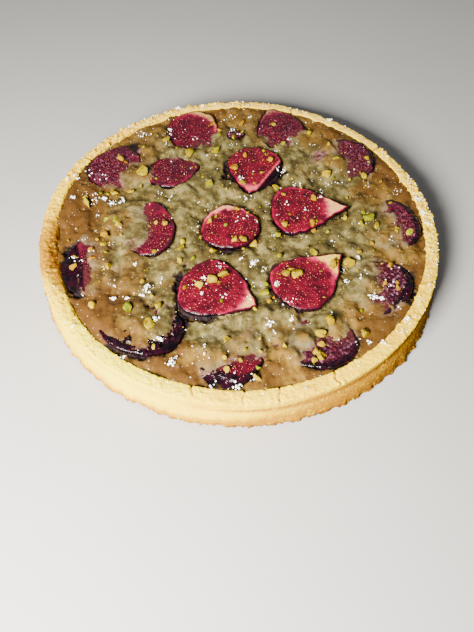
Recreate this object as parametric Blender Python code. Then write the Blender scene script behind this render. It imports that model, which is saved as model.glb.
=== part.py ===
"""Fig tart: a round pastry case, the baked pistachio cream that fills it, and fig halves sunk in the cream.

Every length is in metres. The tart stands on the plane z = 0 with the axis of its case on z, and the
side that faces the viewer is -y. Chopped pistachio and clumps of sugar are fused to what they lie on.
"""

import math
import random
from dataclasses import dataclass
from functools import lru_cache

import bmesh
import bpy
from mathutils import Matrix, Vector, geometry, noise

MM = 0.001
GAP = 0.35 * MM  # the clearance that neighbouring pieces keep

# Pastry case, baked in a plain ring 240 mm across
CASE_RADIUS = 0.1195
CASE_HEIGHT = 0.0230
FLOOR_THICKNESS = 0.0040
RIM_WIDTH = 0.0069
RIM_WIDTH_CHANGE = 0.0014  # the rim is this much wider at the front and narrower at the back
CASE_SEGMENTS = 108
FOOT_REACH = 0.0018  # how far the ragged edge stands out of the foot
FOOT_SPREAD_ANGLE = math.radians(-38)  # where the foot has spread outwards in baking
FOOT_SPREAD_REACH = math.radians(30)
FOOT_SPREAD = 0.0018
SLUMP_ANGLE = math.radians(197)  # where the pastry has sunk inwards and browned
SLUMP_SPREAD = math.radians(21)
SLUMP_REACH = 0.0085
SLUMP_DROP = 0.0060

# Baked cream
CREAM_MIDDLE_Z = 0.0190
CREAM_EDGE_Z = 0.0218
CREAM_RISE_START = 0.075  # radius where the cream starts to rise towards the case
CREAM_RISE_END = 0.108
CREAM_GRID = 0.0056
LOW_CREAM_ANGLE = math.radians(140)  # the cream stands a little lower at the back left
LOW_CREAM_SPREAD = math.radians(35)
LOW_CREAM_DROP = 0.0014
PUFF_HEIGHT = 0.0012
PUFF_WIDTH = 0.022
CREAM_SLUMP_START = 0.085  # radius where the cream starts to follow the sunken pastry
CREAM_SLUMP_SHARE = 0.5
BELOW_RIM = 0.3 * MM  # the cream's edge stays below the rim's
SIDE_GAP = 1.3 * GAP  # measured level, across the sloping wall
POINTS_OFF_EDGE = 1.6 * MM  # how far the points of the cream's top keep from its edge
POINTS_OFF_FIG = 2.8 * MM  # and from a fig's outline, apart from a ring of points round it
RING_OFF_FIG = 1.0 * MM
MOAT_DEPTH = 0.0012  # the cream sinks by this much beside a fig
MOAT_WIDTH = 0.0050
COVER_RISE = 0.0022  # how far the cream stands above a fig that it has run over
COVER_SINK = 0.0030  # how far it stays below the cut face elsewhere
COVER_EDGE = 0.0030

# Fig halves
FIG_SEGMENTS = 20
FIG_DEPTH_SHARE = 0.36  # depth of a half as a share of its width
FIG_BOWL_ANGLE = math.radians(38)  # where the bowl of a half is drawn between its edge and its lowest point
FACE_RING_SHARE = 0.80
FACE_DOME = 0.0006

# Toppings
CHIP_SHAPE = (0.50, 0.38, 0.30)  # half lengths of a chip as shares of its size
CHIP_TILT = 0.35
CHIP_SUNK = 0.35  # how far the middle of a chip is above what it lies on, as a share of its half height
CHIP_MARGIN = 0.0006  # clear space between a topping and the edge of a fig
NUDGE = 0.8 * MM  # a chip moves over by steps of this length to lie clear
NUDGES = 4
SEED = 24


@dataclass(frozen=True)
class Fig:
    """A fig half with its cut face up. The stem end points along heading, in degrees from +x."""

    name: str
    x: float
    y: float
    heading: float
    length: float
    width: float
    taper: float  # 0 is an oval, 2 a drop with a drawn-out stem end
    face_z: float
    lean: float = 0.0  # degrees by which the face leans towards the middle of the tart
    covers: tuple = ()  # circles (x, y, radius) where the cream has run over the fig


FIGS = [
    Fig("fig_inner_1", 0.0092, 0.0502, -97, 0.042, 0.036, 0.7, 0.0213, 2),
    Fig("fig_inner_2", 0.0448, 0.0155, 2, 0.050, 0.039, 1.7, 0.0216, 3),
    Fig("fig_inner_3", -0.0058, 0.0005, 105, 0.036, 0.0365, 0.35, 0.0212, 0),
    Fig("fig_inner_4", 0.0425, -0.0372, 41, 0.050, 0.038, 1.3, 0.0214, 2),
    Fig("fig_inner_5", -0.0098, -0.0496, -25, 0.047, 0.041, 1.2, 0.0214, 2),
    Fig(
        "fig_side_1", -0.0445, 0.0493, 15, 0.034, 0.029, 0.4, 0.0197, -3,
        ((-0.047, 0.069, 0.009), (-0.067, 0.046, 0.0105)),
    ),
    Fig(
        "fig_side_2", -0.0545, -0.0015, 91, 0.044, 0.031, 0.4, 0.0202, -3,
        ((-0.069, -0.004, 0.017), (-0.066, 0.014, 0.0085)),
    ),
    Fig(
        "fig_outer_1", -0.0810, 0.0550, 62, 0.047, 0.032, 0.9, 0.0200, 9,
        ((-0.066, 0.044, 0.0145), (-0.083, 0.030, 0.008), (-0.061, 0.070, 0.008)),
    ),
    Fig(
        "fig_outer_2", -0.0325, 0.0900, 50, 0.037, 0.035, 0.3, 0.0208, 11,
        ((-0.025, 0.069, 0.011), (-0.013, 0.081, 0.0085)),
    ),
    Fig(
        "fig_outer_3", 0.0268, 0.0938, 112, 0.038, 0.033, 0.5, 0.0207, 11,
        ((0.026, 0.066, 0.0135), (0.043, 0.081, 0.009), (0.012, 0.080, 0.008)),
    ),
    Fig(
        "fig_outer_4", 0.0695, 0.0605, 46, 0.041, 0.042, 0.2, 0.0205, 9,
        ((0.057, 0.052, 0.0175), (0.077, 0.041, 0.0105), (0.057, 0.073, 0.010)),
    ),
    Fig(
        "fig_outer_5", 0.0935, 0.0042, 80, 0.041, 0.035, 0.4, 0.0200, 10,
        ((0.080, 0.000, 0.0205), (0.0935, -0.018, 0.0095), (0.086, 0.019, 0.0085)),
    ),
    Fig(
        "fig_outer_6", 0.0815, -0.0450, -100, 0.042, 0.034, 0.5, 0.0203, 9,
        ((0.068, -0.045, 0.016), (0.075, -0.030, 0.0085), (0.076, -0.061, 0.0095), (0.091, -0.060, 0.004)),
    ),
    Fig(
        "fig_outer_7", 0.0447, -0.0818, -140, 0.038, 0.036, 0.4, 0.0206, 11,
        ((0.050, -0.069, 0.015), (0.035, -0.077, 0.010), (0.027, -0.090, 0.0085)),
    ),
    Fig(
        "fig_outer_8", -0.0045, -0.0928, -112, 0.037, 0.036, 0.4, 0.0206, 11,
        ((-0.015, -0.088, 0.0125), (0.003, -0.077, 0.016)),
    ),
    Fig(
        "fig_outer_9", -0.0510, -0.0750, 190, 0.045, 0.036, 0.4, 0.0212, 10,
        ((-0.053, -0.069, 0.0175), (-0.068, -0.074, 0.0105)),
    ),
    Fig(
        "fig_outer_10", -0.0855, -0.0312, 102, 0.044, 0.033, 0.4, 0.0200, 10,
        ((-0.074, -0.026, 0.0135), (-0.077, -0.043, 0.0125), (-0.087, -0.009, 0.008)),
    ),
    Fig("fig_chip", -0.0035, 0.0865, 5, 0.013, 0.008, 0.2, 0.0205, 0),
]

# The large pieces of pistachio and clumps of sugar, as x, y and size in millimetres
PISTACHIO = [
    (-62, 44, 6.8), (-34.5, 65.5, 7.2), (80, 8, 6.4), (65, -25.5, 6.0), (50, -70, 6.4), (-8, -38, 6.4),
    (-15, -43, 5.8), (-22, -46.5, 5.2), (33.5, -38, 5.8), (27, -37, 4.8), (-83, -11, 5.6), (-96, 17, 5.2),
    (-47, -74, 5.2), (-60, -64, 5.0), (14.5, -49, 5.4), (29, 79, 4.8), (57.5, 46.5, 5.2), (100, -4, 4.8),
    (-17, 70, 5.0), (-80, 27.5, 4.8), (-45, 0, 5.0), (3, -11, 5.0), (-73, -2, 5.0), (43, -89, 5.0),
]
SUGAR = [
    (-80, 18, 6.2), (-51, -46.5, 6.0), (-33, -95, 5.6), (17, -69, 5.6), (-27, -85, 4.8), (9, -27.5, 4.6),
    (76, -53, 4.2), (-106, 21.5, 4.2),
]
SMALL_CHIPS = 30  # smaller pieces of both, spread evenly between the large ones
SMALL_CHIP_SIZES = (3.6 * MM, 4.8 * MM)
SPREAD_RADIUS = 0.104
SPREAD_DRAWS = 8  # each small piece goes to the emptiest of this many places
RIM_CHIPS = 12
RIM_CHIP_SIZES = (3.4 * MM, 4.6 * MM)

# Base colour and roughness
LOOKS = {
    "crust": ((0.78, 0.60, 0.33), 0.8),
    "cream": ((0.46, 0.33, 0.13), 0.6),
    "fig": ((0.36, 0.02, 0.05), 0.35),
}


def smooth_step(low, high, value):
    share = min(1.0, max(0.0, (value - low) / (high - low)))
    return share * share * (3 - 2 * share)


def bell(angle, middle, spread):
    """1 at the middle angle, falling to nothing over the spread on each side."""
    turn = math.remainder(angle - middle, 2 * math.pi)
    return math.exp(-((turn / spread) ** 2))


def ring_noise(angle, frequency, offset):
    """Noise from about -1 to 1 that closes on itself round the tart."""
    return noise.noise(Vector((math.cos(angle) * frequency, math.sin(angle) * frequency, offset)))


# Objects

def add_object(name, mesh, look):
    """Put a mesh in the scene with a material of its own."""
    colour, roughness = LOOKS[look]
    material = bpy.data.materials.new(name)
    material.use_nodes = True
    surface = material.node_tree.nodes["Principled BSDF"]
    surface.inputs["Base Color"].default_value = (*colour, 1.0)
    surface.inputs["Roughness"].default_value = roughness
    mesh.materials.append(material)
    mesh.shade_smooth()
    body = bpy.data.objects.new(name, mesh)
    bpy.context.scene.collection.objects.link(body)
    return body


def apply_boolean(body, operation, meshes):
    """Cut the meshes out of a body or fuse them to it."""
    tools = bpy.data.collections.new("tools")
    bpy.context.scene.collection.children.link(tools)
    for mesh in meshes:
        tools.objects.link(bpy.data.objects.new("tool", mesh))
    step = body.modifiers.new(operation.lower(), "BOOLEAN")
    step.operation = operation
    step.operand_type = "COLLECTION"
    step.collection = tools
    bpy.context.view_layer.objects.active = body
    bpy.ops.object.modifier_apply(modifier=step.name)
    for tool in list(tools.objects):
        bpy.data.objects.remove(tool)
    bpy.data.collections.remove(tools)


def turned_mesh(name, rings, top, bottom):
    """A closed body from rings of points, the first round the top point, the last round the bottom point."""
    count = len(rings[0])
    vertices = [top]
    for ring in rings:
        vertices.extend(ring)
    vertices.append(bottom)
    faces = []
    for i in range(count):
        j = (i + 1) % count
        faces.append((0, 1 + i, 1 + j))
        for level in range(len(rings) - 1):
            low = 1 + level * count
            high = low + count
            faces.append((low + i, high + i, high + j, low + j))
        end = 1 + (len(rings) - 1) * count
        faces.append((len(vertices) - 1, end + j, end + i))
    mesh = bpy.data.meshes.new(name)
    mesh.from_pydata(vertices, [], faces)
    return mesh


# Pastry case

def case_angles():
    return [2 * math.pi * i / CASE_SEGMENTS for i in range(CASE_SEGMENTS)]


def polar_point(radius, angle, z):
    return (radius * math.cos(angle), radius * math.sin(angle), z)


def case_outer_radius(angle):
    return CASE_RADIUS + 0.5 * MM * ring_noise(angle, 1.3, 7)


def case_height(angle):
    return CASE_HEIGHT + 0.5 * MM * ring_noise(angle, 1.5, 0)


def rim_width(angle):
    return RIM_WIDTH - RIM_WIDTH_CHANGE * math.sin(angle)


def inner_wall(angle):
    """(radius, z) points up the inner wall, from the floor to the inner edge of the rim."""
    slump = bell(angle, SLUMP_ANGLE, SLUMP_SPREAD)
    edge = case_outer_radius(angle) - rim_width(angle)
    height = case_height(angle)
    return [
        (edge - 3.2 * MM - slump * SLUMP_REACH, FLOOR_THICKNESS),
        (edge - 0.8 * MM - slump * SLUMP_REACH, FLOOR_THICKNESS + 3.0 * MM),
        (edge - 0.75 * slump * SLUMP_REACH, height - 3.0 * MM - slump * SLUMP_DROP),
        (edge + 0.4 * MM - 0.35 * slump * SLUMP_REACH, height - 0.5 * MM - 0.4 * slump * SLUMP_DROP),
    ]


def outer_wall(angle):
    """(radius, z) points from the middle of the rim, over its outer edge and down to the foot."""
    slump = bell(angle, SLUMP_ANGLE, SLUMP_SPREAD)
    out = case_outer_radius(angle)
    height = case_height(angle)
    crumb = 0.5 * MM * ring_noise(angle, 17, 2)
    ragged = FOOT_REACH * abs(ring_noise(angle, 14, 5)) ** 0.7
    spread = FOOT_SPREAD * bell(angle, FOOT_SPREAD_ANGLE, FOOT_SPREAD_REACH)
    return [
        (out - 0.5 * rim_width(angle), height + 0.5 * crumb - 0.1 * slump * SLUMP_DROP),
        (out - 0.4 * MM + 0.4 * crumb, height - 0.2 * MM + crumb - 1.2 * MM * slump),
        (out + 0.3 * crumb, height - 1.6 * MM - 1.6 * MM * slump),
        (out - 0.4 * MM, 0.66 * height),
        (out + 0.9 * MM + 0.4 * spread, 0.44 * height),
        (out + 1.7 * MM + spread + ragged, 1.2 * MM),
        (out + 1.0 * MM + spread, 0.0),
    ]


def make_case():
    walls = [inner_wall(a) + outer_wall(a) for a in case_angles()]
    rings = [[polar_point(r, a, z) for (r, z), a in zip(level, case_angles())] for level in zip(*walls)]
    mesh = turned_mesh("crust", rings, (0, 0, FLOOR_THICKNESS), (0, 0, 0))
    return add_object("crust", mesh, "crust")


# Fig halves

def widest_turn(fig):
    """The outline's parameter where the fig is widest."""
    return math.acos(-fig.taper / (fig.taper + 2))


def half_width(fig, turn):
    """Distance from the axis to the outline: a drop whose point is at turn 0."""
    widest = widest_turn(fig)
    drop = math.sin(turn) * abs(math.sin(turn / 2)) ** fig.taper
    return 0.5 * fig.width * drop / (math.sin(widest) * math.sin(widest / 2) ** fig.taper)


@lru_cache(maxsize=None)
def outline(fig, grow=0.0):
    """The fig's outline in its own frame, as (along, across) points, grown outwards by grow."""
    turns = [2 * math.pi * (i + 0.5) / FIG_SEGMENTS for i in range(FIG_SEGMENTS)]
    points = [Vector((0.5 * fig.length * math.cos(t), half_width(fig, t))) for t in turns]
    grown = []
    for i, point in enumerate(points):
        along = points[(i + 1) % FIG_SEGMENTS] - points[i - 1]
        grown.append(point + grow * Vector((along.y, -along.x)).normalized())
    return grown


def fig_mesh(fig, grow=0.0):
    """Half a fig in its place, grown outwards by grow: the cut face is at z = 0 in the fig's own frame."""
    centre = Vector((0.5 * fig.length * math.cos(widest_turn(fig)), 0.0))
    depth = FIG_DEPTH_SHARE * fig.width + grow

    def ring(share, z):
        return [(*centre.lerp(point, share), z) for point in outline(fig, grow)]

    rings = [ring(FACE_RING_SHARE, 0.5 * FACE_DOME + grow), ring(1.0, grow)]
    if grow:
        rings.append(ring(1.0, 0.0))
    rings.append(ring(math.cos(FIG_BOWL_ANGLE), -depth * math.sin(FIG_BOWL_ANGLE)))
    mesh = turned_mesh(fig.name, rings, (*centre, FACE_DOME + grow), (*centre, -depth))
    mesh.transform(fig_placement(fig))
    return mesh


def fig_placement(fig):
    """The matrix that takes the fig's own frame to the tart's."""
    around = Vector((-fig.y, fig.x, 0.0))
    lean = Matrix.Rotation(-math.radians(fig.lean), 4, around)
    turn = Matrix.Rotation(math.radians(fig.heading), 4, "Z")
    return Matrix.Translation((fig.x, fig.y, fig.face_z)) @ lean @ turn


def face_height(fig, x, y):
    """Height of the fig's cut face over a point."""
    outward = Vector((fig.x, fig.y)).normalized()
    return fig.face_z + math.tan(math.radians(fig.lean)) * outward.dot(Vector((x - fig.x, y - fig.y)))


def edge_distance(fig, x, y):
    """Distance in plan from a point to the fig's outline, negative inside it."""
    point = Matrix.Rotation(-math.radians(fig.heading), 2) @ Vector((x - fig.x, y - fig.y))
    edge = outline(fig)
    nearest = math.inf
    for start, end in zip(edge, edge[1:] + edge[:1]):
        side = end - start
        share = min(1.0, max(0.0, side.dot(point - start) / side.length_squared))
        nearest = min(nearest, (point - start - share * side).length)
    along = point.x / (0.5 * fig.length)
    inside = abs(along) < 1 and abs(point.y) < half_width(fig, math.acos(along))
    return -nearest if inside else nearest


def is_near(fig, x, y, distance):
    """Whether a point can be within a distance of the fig's outline."""
    return math.hypot(x - fig.x, y - fig.y) < 0.5 * max(fig.length, fig.width) + distance


def covering(fig, x, y):
    """1 where the cream has run over the fig, 0 where it has not."""
    covered = 0.0
    for cover_x, cover_y, radius in fig.covers:
        outside = math.hypot(x - cover_x, y - cover_y) - radius
        covered = max(covered, smooth_step(COVER_EDGE, -COVER_EDGE, outside))
    return covered


# Cream

def open_cream_height(x, y):
    """Height of the cream away from the figs."""
    radius = math.hypot(x, y)
    angle = math.atan2(y, x)
    rise = smooth_step(CREAM_RISE_START, CREAM_RISE_END, radius)
    z = CREAM_MIDDLE_Z + (CREAM_EDGE_Z - CREAM_MIDDLE_Z) * rise
    z -= LOW_CREAM_DROP * bell(angle, LOW_CREAM_ANGLE, LOW_CREAM_SPREAD) * rise
    slump = bell(angle, SLUMP_ANGLE, SLUMP_SPREAD) * smooth_step(CREAM_SLUMP_START, CREAM_RISE_END, radius)
    z -= CREAM_SLUMP_SHARE * SLUMP_DROP * slump
    return z + PUFF_HEIGHT * noise.noise(Vector((x / PUFF_WIDTH, y / PUFF_WIDTH, 0)))


def cream_height(x, y):
    z = open_cream_height(x, y)
    for fig in FIGS:
        if not is_near(fig, x, y, 3 * MOAT_WIDTH):
            continue
        distance = edge_distance(fig, x, y)
        if distance > 0:
            z -= MOAT_DEPTH * math.exp(-((distance / MOAT_WIDTH) ** 2))
        else:
            z = face_height(fig, x, y) - COVER_SINK
    for fig in FIGS:
        z += covering(fig, x, y) * max(0.0, face_height(fig, x, y) + COVER_RISE - z)
    return z


def wall_radius(angle, z):
    """Radius of the case's inner wall at a height."""
    wall = inner_wall(angle)
    for (low_r, low_z), (high_r, high_z) in zip(wall, wall[1:]):
        if z <= high_z:
            return low_r + (high_r - low_r) * (z - low_z) / (high_z - low_z)
    return wall[-1][0]


def cream_edge(angle):
    """(radius, z) points down the side of the cream, which follows the case's inner wall."""
    wall = inner_wall(angle)
    x, y, _ = polar_point(wall_radius(angle, CREAM_MIDDLE_Z), angle, 0)
    top = min(cream_height(x, y), wall[-1][1] - BELOW_RIM)
    middle = min(wall[2][1], top - 1.0 * MM)
    side = [(wall_radius(angle, z) - SIDE_GAP, z) for z in (top, middle, wall[1][1])]
    return side + [(wall[0][0] - GAP, FLOOR_THICKNESS + GAP)]


def is_drawn_near(fig, x, y):
    """Whether the cream has a point here: clear of the fig's edge, and over it only where it covers it."""
    distance = edge_distance(fig, x, y)
    return distance > POINTS_OFF_FIG or (distance < -POINTS_OFF_FIG and covering(fig, x, y) > 0)


def cream_points():
    """Points in plan that the top of the cream is drawn through, inside its edge."""
    limit = CASE_RADIUS - RIM_WIDTH
    points = []
    rows = int(2 * limit / (CREAM_GRID * math.sqrt(0.75)))
    for row in range(rows + 1):
        y = -limit + row * CREAM_GRID * math.sqrt(0.75)
        for column in range(int(2 * limit / CREAM_GRID) + 1):
            x = -limit + (column + 0.5 * (row % 2)) * CREAM_GRID
            near = [fig for fig in FIGS if is_near(fig, x, y, POINTS_OFF_FIG)]
            if all(is_drawn_near(fig, x, y) for fig in near):
                points.append((x, y))
    for fig in FIGS:
        for point in outline(fig, RING_OFF_FIG):
            turned = Matrix.Rotation(math.radians(fig.heading), 2) @ point
            points.append((fig.x + turned.x, fig.y + turned.y))
    return points


def is_inside_edge(x, y):
    edge_radius, _ = cream_edge(math.atan2(y, x))[0]
    return math.hypot(x, y) < edge_radius - POINTS_OFF_EDGE


def make_cream():
    edges = [cream_edge(a) for a in case_angles()]
    rings = [[polar_point(r, a, z) for (r, z), a in zip(level, case_angles())] for level in zip(*edges)]
    inner = [(x, y) for x, y in cream_points() if is_inside_edge(x, y)]
    border = [(i, (i + 1) % CASE_SEGMENTS) for i in range(CASE_SEGMENTS)]
    plan = [Vector(point[:2]) for point in rings[0]] + [Vector(point) for point in inner]
    plan, _, faces, *_ = geometry.delaunay_2d_cdt(plan, border, [], 1, 1e-6)
    vertices = list(rings[0]) + [(p.x, p.y, cream_height(p.x, p.y)) for p in plan[CASE_SEGMENTS:]]
    below = len(vertices)
    vertices += [point for ring in rings[1:] for point in ring]
    vertices.append((0, 0, FLOOR_THICKNESS + GAP))
    for level in range(len(rings) - 1):
        low = below + level * CASE_SEGMENTS
        high = low - CASE_SEGMENTS if level else 0
        for i, j in border:
            faces.append((high + i, low + i, low + j, high + j))
    last = below + (len(rings) - 2) * CASE_SEGMENTS
    faces += [(len(vertices) - 1, last + j, last + i) for i, j in border]
    mesh = bpy.data.meshes.new("cream")
    mesh.from_pydata(vertices, [], faces)
    return add_object("cream", mesh, "cream")


# Toppings

def chip_mesh(x, y, z, size, chance):
    """A rough chip of about the given size, partly sunk in what is at height z."""
    shape = bmesh.new()
    bmesh.ops.create_icosphere(shape, subdivisions=1, radius=1.0)
    for corner in shape.verts:
        corner.co *= chance.uniform(0.85, 1.15)
    half = [share * size for share in CHIP_SHAPE]
    turn = Matrix.Rotation(chance.uniform(0, 2 * math.pi), 4, "Z")
    tilt = Matrix.Rotation(chance.uniform(-CHIP_TILT, CHIP_TILT), 4, "X")
    place = Matrix.Translation((x, y, z + CHIP_SUNK * half[2]))
    shape.transform(place @ turn @ tilt @ Matrix.Diagonal((*half, 1.0)))
    mesh = bpy.data.meshes.new("chip")
    shape.to_mesh(mesh)
    shape.free()
    return mesh


def off_covers(figs, x, y):
    """Distance from a point to the nearest cover of some figs, negative inside one."""
    return min((math.hypot(x - cx, y - cy) - r for fig in figs for cx, cy, r in fig.covers), default=math.inf)


def resting_place(x, y, size):
    """What a chip lies on, as a node's name and a height, or None where it would touch two pieces."""
    clear = 0.5 * size + CHIP_MARGIN
    for fig in FIGS:
        if not is_near(fig, x, y, clear):
            continue
        distance = edge_distance(fig, x, y)
        if distance < -clear and off_covers(FIGS, x, y) > COVER_EDGE + clear:
            return fig.name, face_height(fig, x, y) + FACE_DOME
        if distance < clear and off_covers([fig], x, y) > -COVER_EDGE - clear:
            return None
    return "cream", cream_height(x, y)


def clear_place(x, y, size):
    """The nearest place to a point where a chip lies clear, as x, y, node and height."""
    for step in range(NUDGES + 1):
        for direction in range(8 if step else 1):
            near_x = x + step * NUDGE * math.cos(direction * math.pi / 4)
            near_y = y + step * NUDGE * math.sin(direction * math.pi / 4)
            place = resting_place(near_x, near_y, size)
            if place:
                return near_x, near_y, *place
    return None


def spread_chips(chance):
    """The chips on the cream and the figs, as x, y and size: the large ones, then small ones between them."""
    chips = [(x * MM, y * MM, size * MM) for x, y, size in PISTACHIO + SUGAR]

    def room(place):
        return min(math.dist(place, chip[:2]) for chip in chips)

    for _ in range(SMALL_CHIPS):
        draws = [
            polar_point(SPREAD_RADIUS * math.sqrt(chance.random()), chance.uniform(0, 2 * math.pi), 0)[:2]
            for _ in range(SPREAD_DRAWS)
        ]
        chips.append((*max(draws, key=room), chance.uniform(*SMALL_CHIP_SIZES)))
    return chips


def chips_by_node(chance):
    chips = {}
    for x, y, size in spread_chips(chance):
        place = clear_place(x, y, size)
        if place:
            chip_x, chip_y, node, z = place
            chips.setdefault(node, []).append(chip_mesh(chip_x, chip_y, z, size, chance))
    for i in range(RIM_CHIPS):
        angle = 2 * math.pi * (i + chance.uniform(0, 0.7)) / RIM_CHIPS
        place = polar_point(case_outer_radius(angle) - 0.45 * rim_width(angle), angle, case_height(angle))
        chips.setdefault("crust", []).append(chip_mesh(*place, chance.uniform(*RIM_CHIP_SIZES), chance))
    return chips


def main():
    for body in list(bpy.data.objects):
        bpy.data.objects.remove(body)
    chance = random.Random(SEED)
    chips = chips_by_node(chance)
    crust = make_case()
    cream = make_cream()
    apply_boolean(cream, "DIFFERENCE", [fig_mesh(fig, GAP) for fig in FIGS])
    bodies = [crust, cream] + [add_object(fig.name, fig_mesh(fig), "fig") for fig in FIGS]
    for body in bodies:
        if body.name in chips:
            apply_boolean(body, "UNION", chips[body.name])


main()
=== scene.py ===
"""The looks of the fig tart: crumbly pastry, baked pistachio cream, cut figs, chopped pistachio and sugar.

Lengths are in metres and angles in degrees from +x, unless a comment says otherwise. The forms repeat the
solids' own formulas and add the relief and the small toppings. The tart stands on z = 0 with its front at -y.
"""

import math
import random
from collections import namedtuple
from dataclasses import dataclass

import bmesh
import bpy
import numpy as np
from mathutils import Matrix, Vector, noise


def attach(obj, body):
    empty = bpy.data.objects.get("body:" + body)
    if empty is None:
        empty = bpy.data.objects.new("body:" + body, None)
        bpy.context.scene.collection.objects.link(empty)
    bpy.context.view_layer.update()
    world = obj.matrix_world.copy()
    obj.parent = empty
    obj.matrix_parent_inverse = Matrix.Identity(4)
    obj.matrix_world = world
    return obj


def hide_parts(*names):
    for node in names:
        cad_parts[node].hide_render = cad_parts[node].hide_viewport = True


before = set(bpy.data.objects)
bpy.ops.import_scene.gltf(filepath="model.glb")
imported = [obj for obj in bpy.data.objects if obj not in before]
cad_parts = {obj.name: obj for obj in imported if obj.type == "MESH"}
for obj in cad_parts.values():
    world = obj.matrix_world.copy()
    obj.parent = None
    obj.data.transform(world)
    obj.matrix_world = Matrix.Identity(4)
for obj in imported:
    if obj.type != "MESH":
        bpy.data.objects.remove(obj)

MM = 0.001
SEED = 7

# The photographer's camera, fitted to the rim of the tart
CAMERA_PLACE = (0, -0.23055, 0.27001)
CAMERA_ANGLES = (33.41, -0.54, 0.9)  # about x, y and z
FOCAL_LENGTH = 31.2  # millimetres
SENSOR_WIDTH = 36  # millimetres

# Pastry case
CASE_RADIUS = 0.1195
CASE_HEIGHT = 0.023
FLOOR_THICKNESS = 0.004
RIM_WIDTH = 0.0069
RIM_WIDTH_CHANGE = 0.0014
FOOT_REACH = 0.0018
FOOT_SPREAD_ANGLE = -38
FOOT_SPREAD_REACH = 30
FOOT_SPREAD = 0.0018
SLUMP_ANGLE = 197
SLUMP_SPREAD = 21
SLUMP_REACH = 0.0085
SLUMP_DROP = 0.006
CASE_SEGMENTS = 1100
CASE_STEPS = (3, 4, 8, 8, 8, 5, 12, 10, 14, 4)  # rings on each stretch of the profile
RIM_CRACKS = (-88, -79, -101, -64, 38, 72, 151, 228)
RIM_CRACK_DEPTH = 1.2  # millimetres
RIM_CRACK_WIDTH = 0.5 * MM
RIM_LUMP_HEIGHT = 0.9  # millimetres
RIM_LUMP_WIDTH = 1.5 * MM
RIM_LUMPS = (  # x, y and the size of the sugar on it, in millimetres
    (116.4, 2.2, 2.6), (98.7, 62.3, 2), (46.5, 107, 2.2), (-27.7, 113.6, 2.6), (-78.6, 86.5, 2),
    (-111.3, 35.5, 2.6), (-116.3, -3, 0), (-87.6, -75.9, 1.8), (-45, -106.8, 0), (34.8, -110.3, 1.8),
    (87.8, -75.9, 2.4), (107.6, -43.9, 2.2),
)
PLAIN_RIM = 0.55  # how rough the rim is where it has crumbled least
CRUMBLY_PLACES = ((128, 42, 1), (8, 26, 0.9), (205, 25, 0.5))  # angle, spread, strength

# Baked cream
CREAM_MIDDLE_Z = 0.019
CREAM_EDGE_Z = 0.0218
CREAM_RISE_START = 0.075
CREAM_RISE_END = 0.108
CREAM_SLUMP_START = 0.085
CREAM_SLUMP_SHARE = 0.5
LOW_CREAM_ANGLE = 140
LOW_CREAM_SPREAD = 35
LOW_CREAM_DROP = 0.0014
PUFF_HEIGHT = 0.0012
PUFF_WIDTH = 22  # millimetres
MOAT_DEPTH = 0.0012
MOAT_WIDTH = 0.005
COVER_RISE = 0.0022
COVER_SINK = 0.003
CREAM_EDGE_AT = 0.0195  # the height at which the cream meets the wall
CREAM_CELLS = 300
SKIRT_DEPTH = 0.006
JUICE_PATCHES = (  # where fig juice has come up: x, y and width in millimetres, and strength
    (53.3, 66.1, 5.5, 1), (50, 61, 4, 0.7), (21.4, -82.8, 2.2, 1), (-31, -99, 2, 0.6), (6, -77, 5, 0.35),
    (-84, 66, 4, 0.6), (-65, -15, 4, 0.7), (34, 85, 4, 0.6),
)
BROWN_PATCHES = (  # x, y and width in millimetres, and strength
    (-100, 25, 18, 0.45), (79, 31, 8, 0.75), (-90, 15, 7, 0.7), (-96, 7, 6, 0.5), (-90, 50, 10, 0.3),
    (78, -75, 14, 0.45), (100, 40, 16, 0.25), (-85, -62, 18, 0.45), (15, -100, 18, 0.3),
    (-12, 105, 20, 0.2), (30, -72, 8, 0.45), (62, -35, 8, 0.3), (-64, -54, 12, 0.6), (-52, 28, 10, 0.4),
    (-56, -30, 12, 0.35), (-28, -96, 14, 0.3), (90, -66, 12, 0.4), (50, 92, 12, 0.35),
)
BROWN_SIDES = (  # angle, spread, strength, the shares of the radius where it starts and is full, unevenness
    (185, 60, 0.35, 0.35, 0.7, 0), (182, 26, 0.8, 0.66, 0.86, 0), (0, 65, 0.22, 0.5, 0.7, 0),
    (5, 30, 0.3, 0.8, 0.94, 0),
)
TAN_SIDES = ((-65, 55, 0.6, 0.7, 0.92, 0.12), (30, 70, 0.2, 0.7, 0.92, 0.1), (193, 13, 1, 0.9, 0.96, 0))
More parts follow.
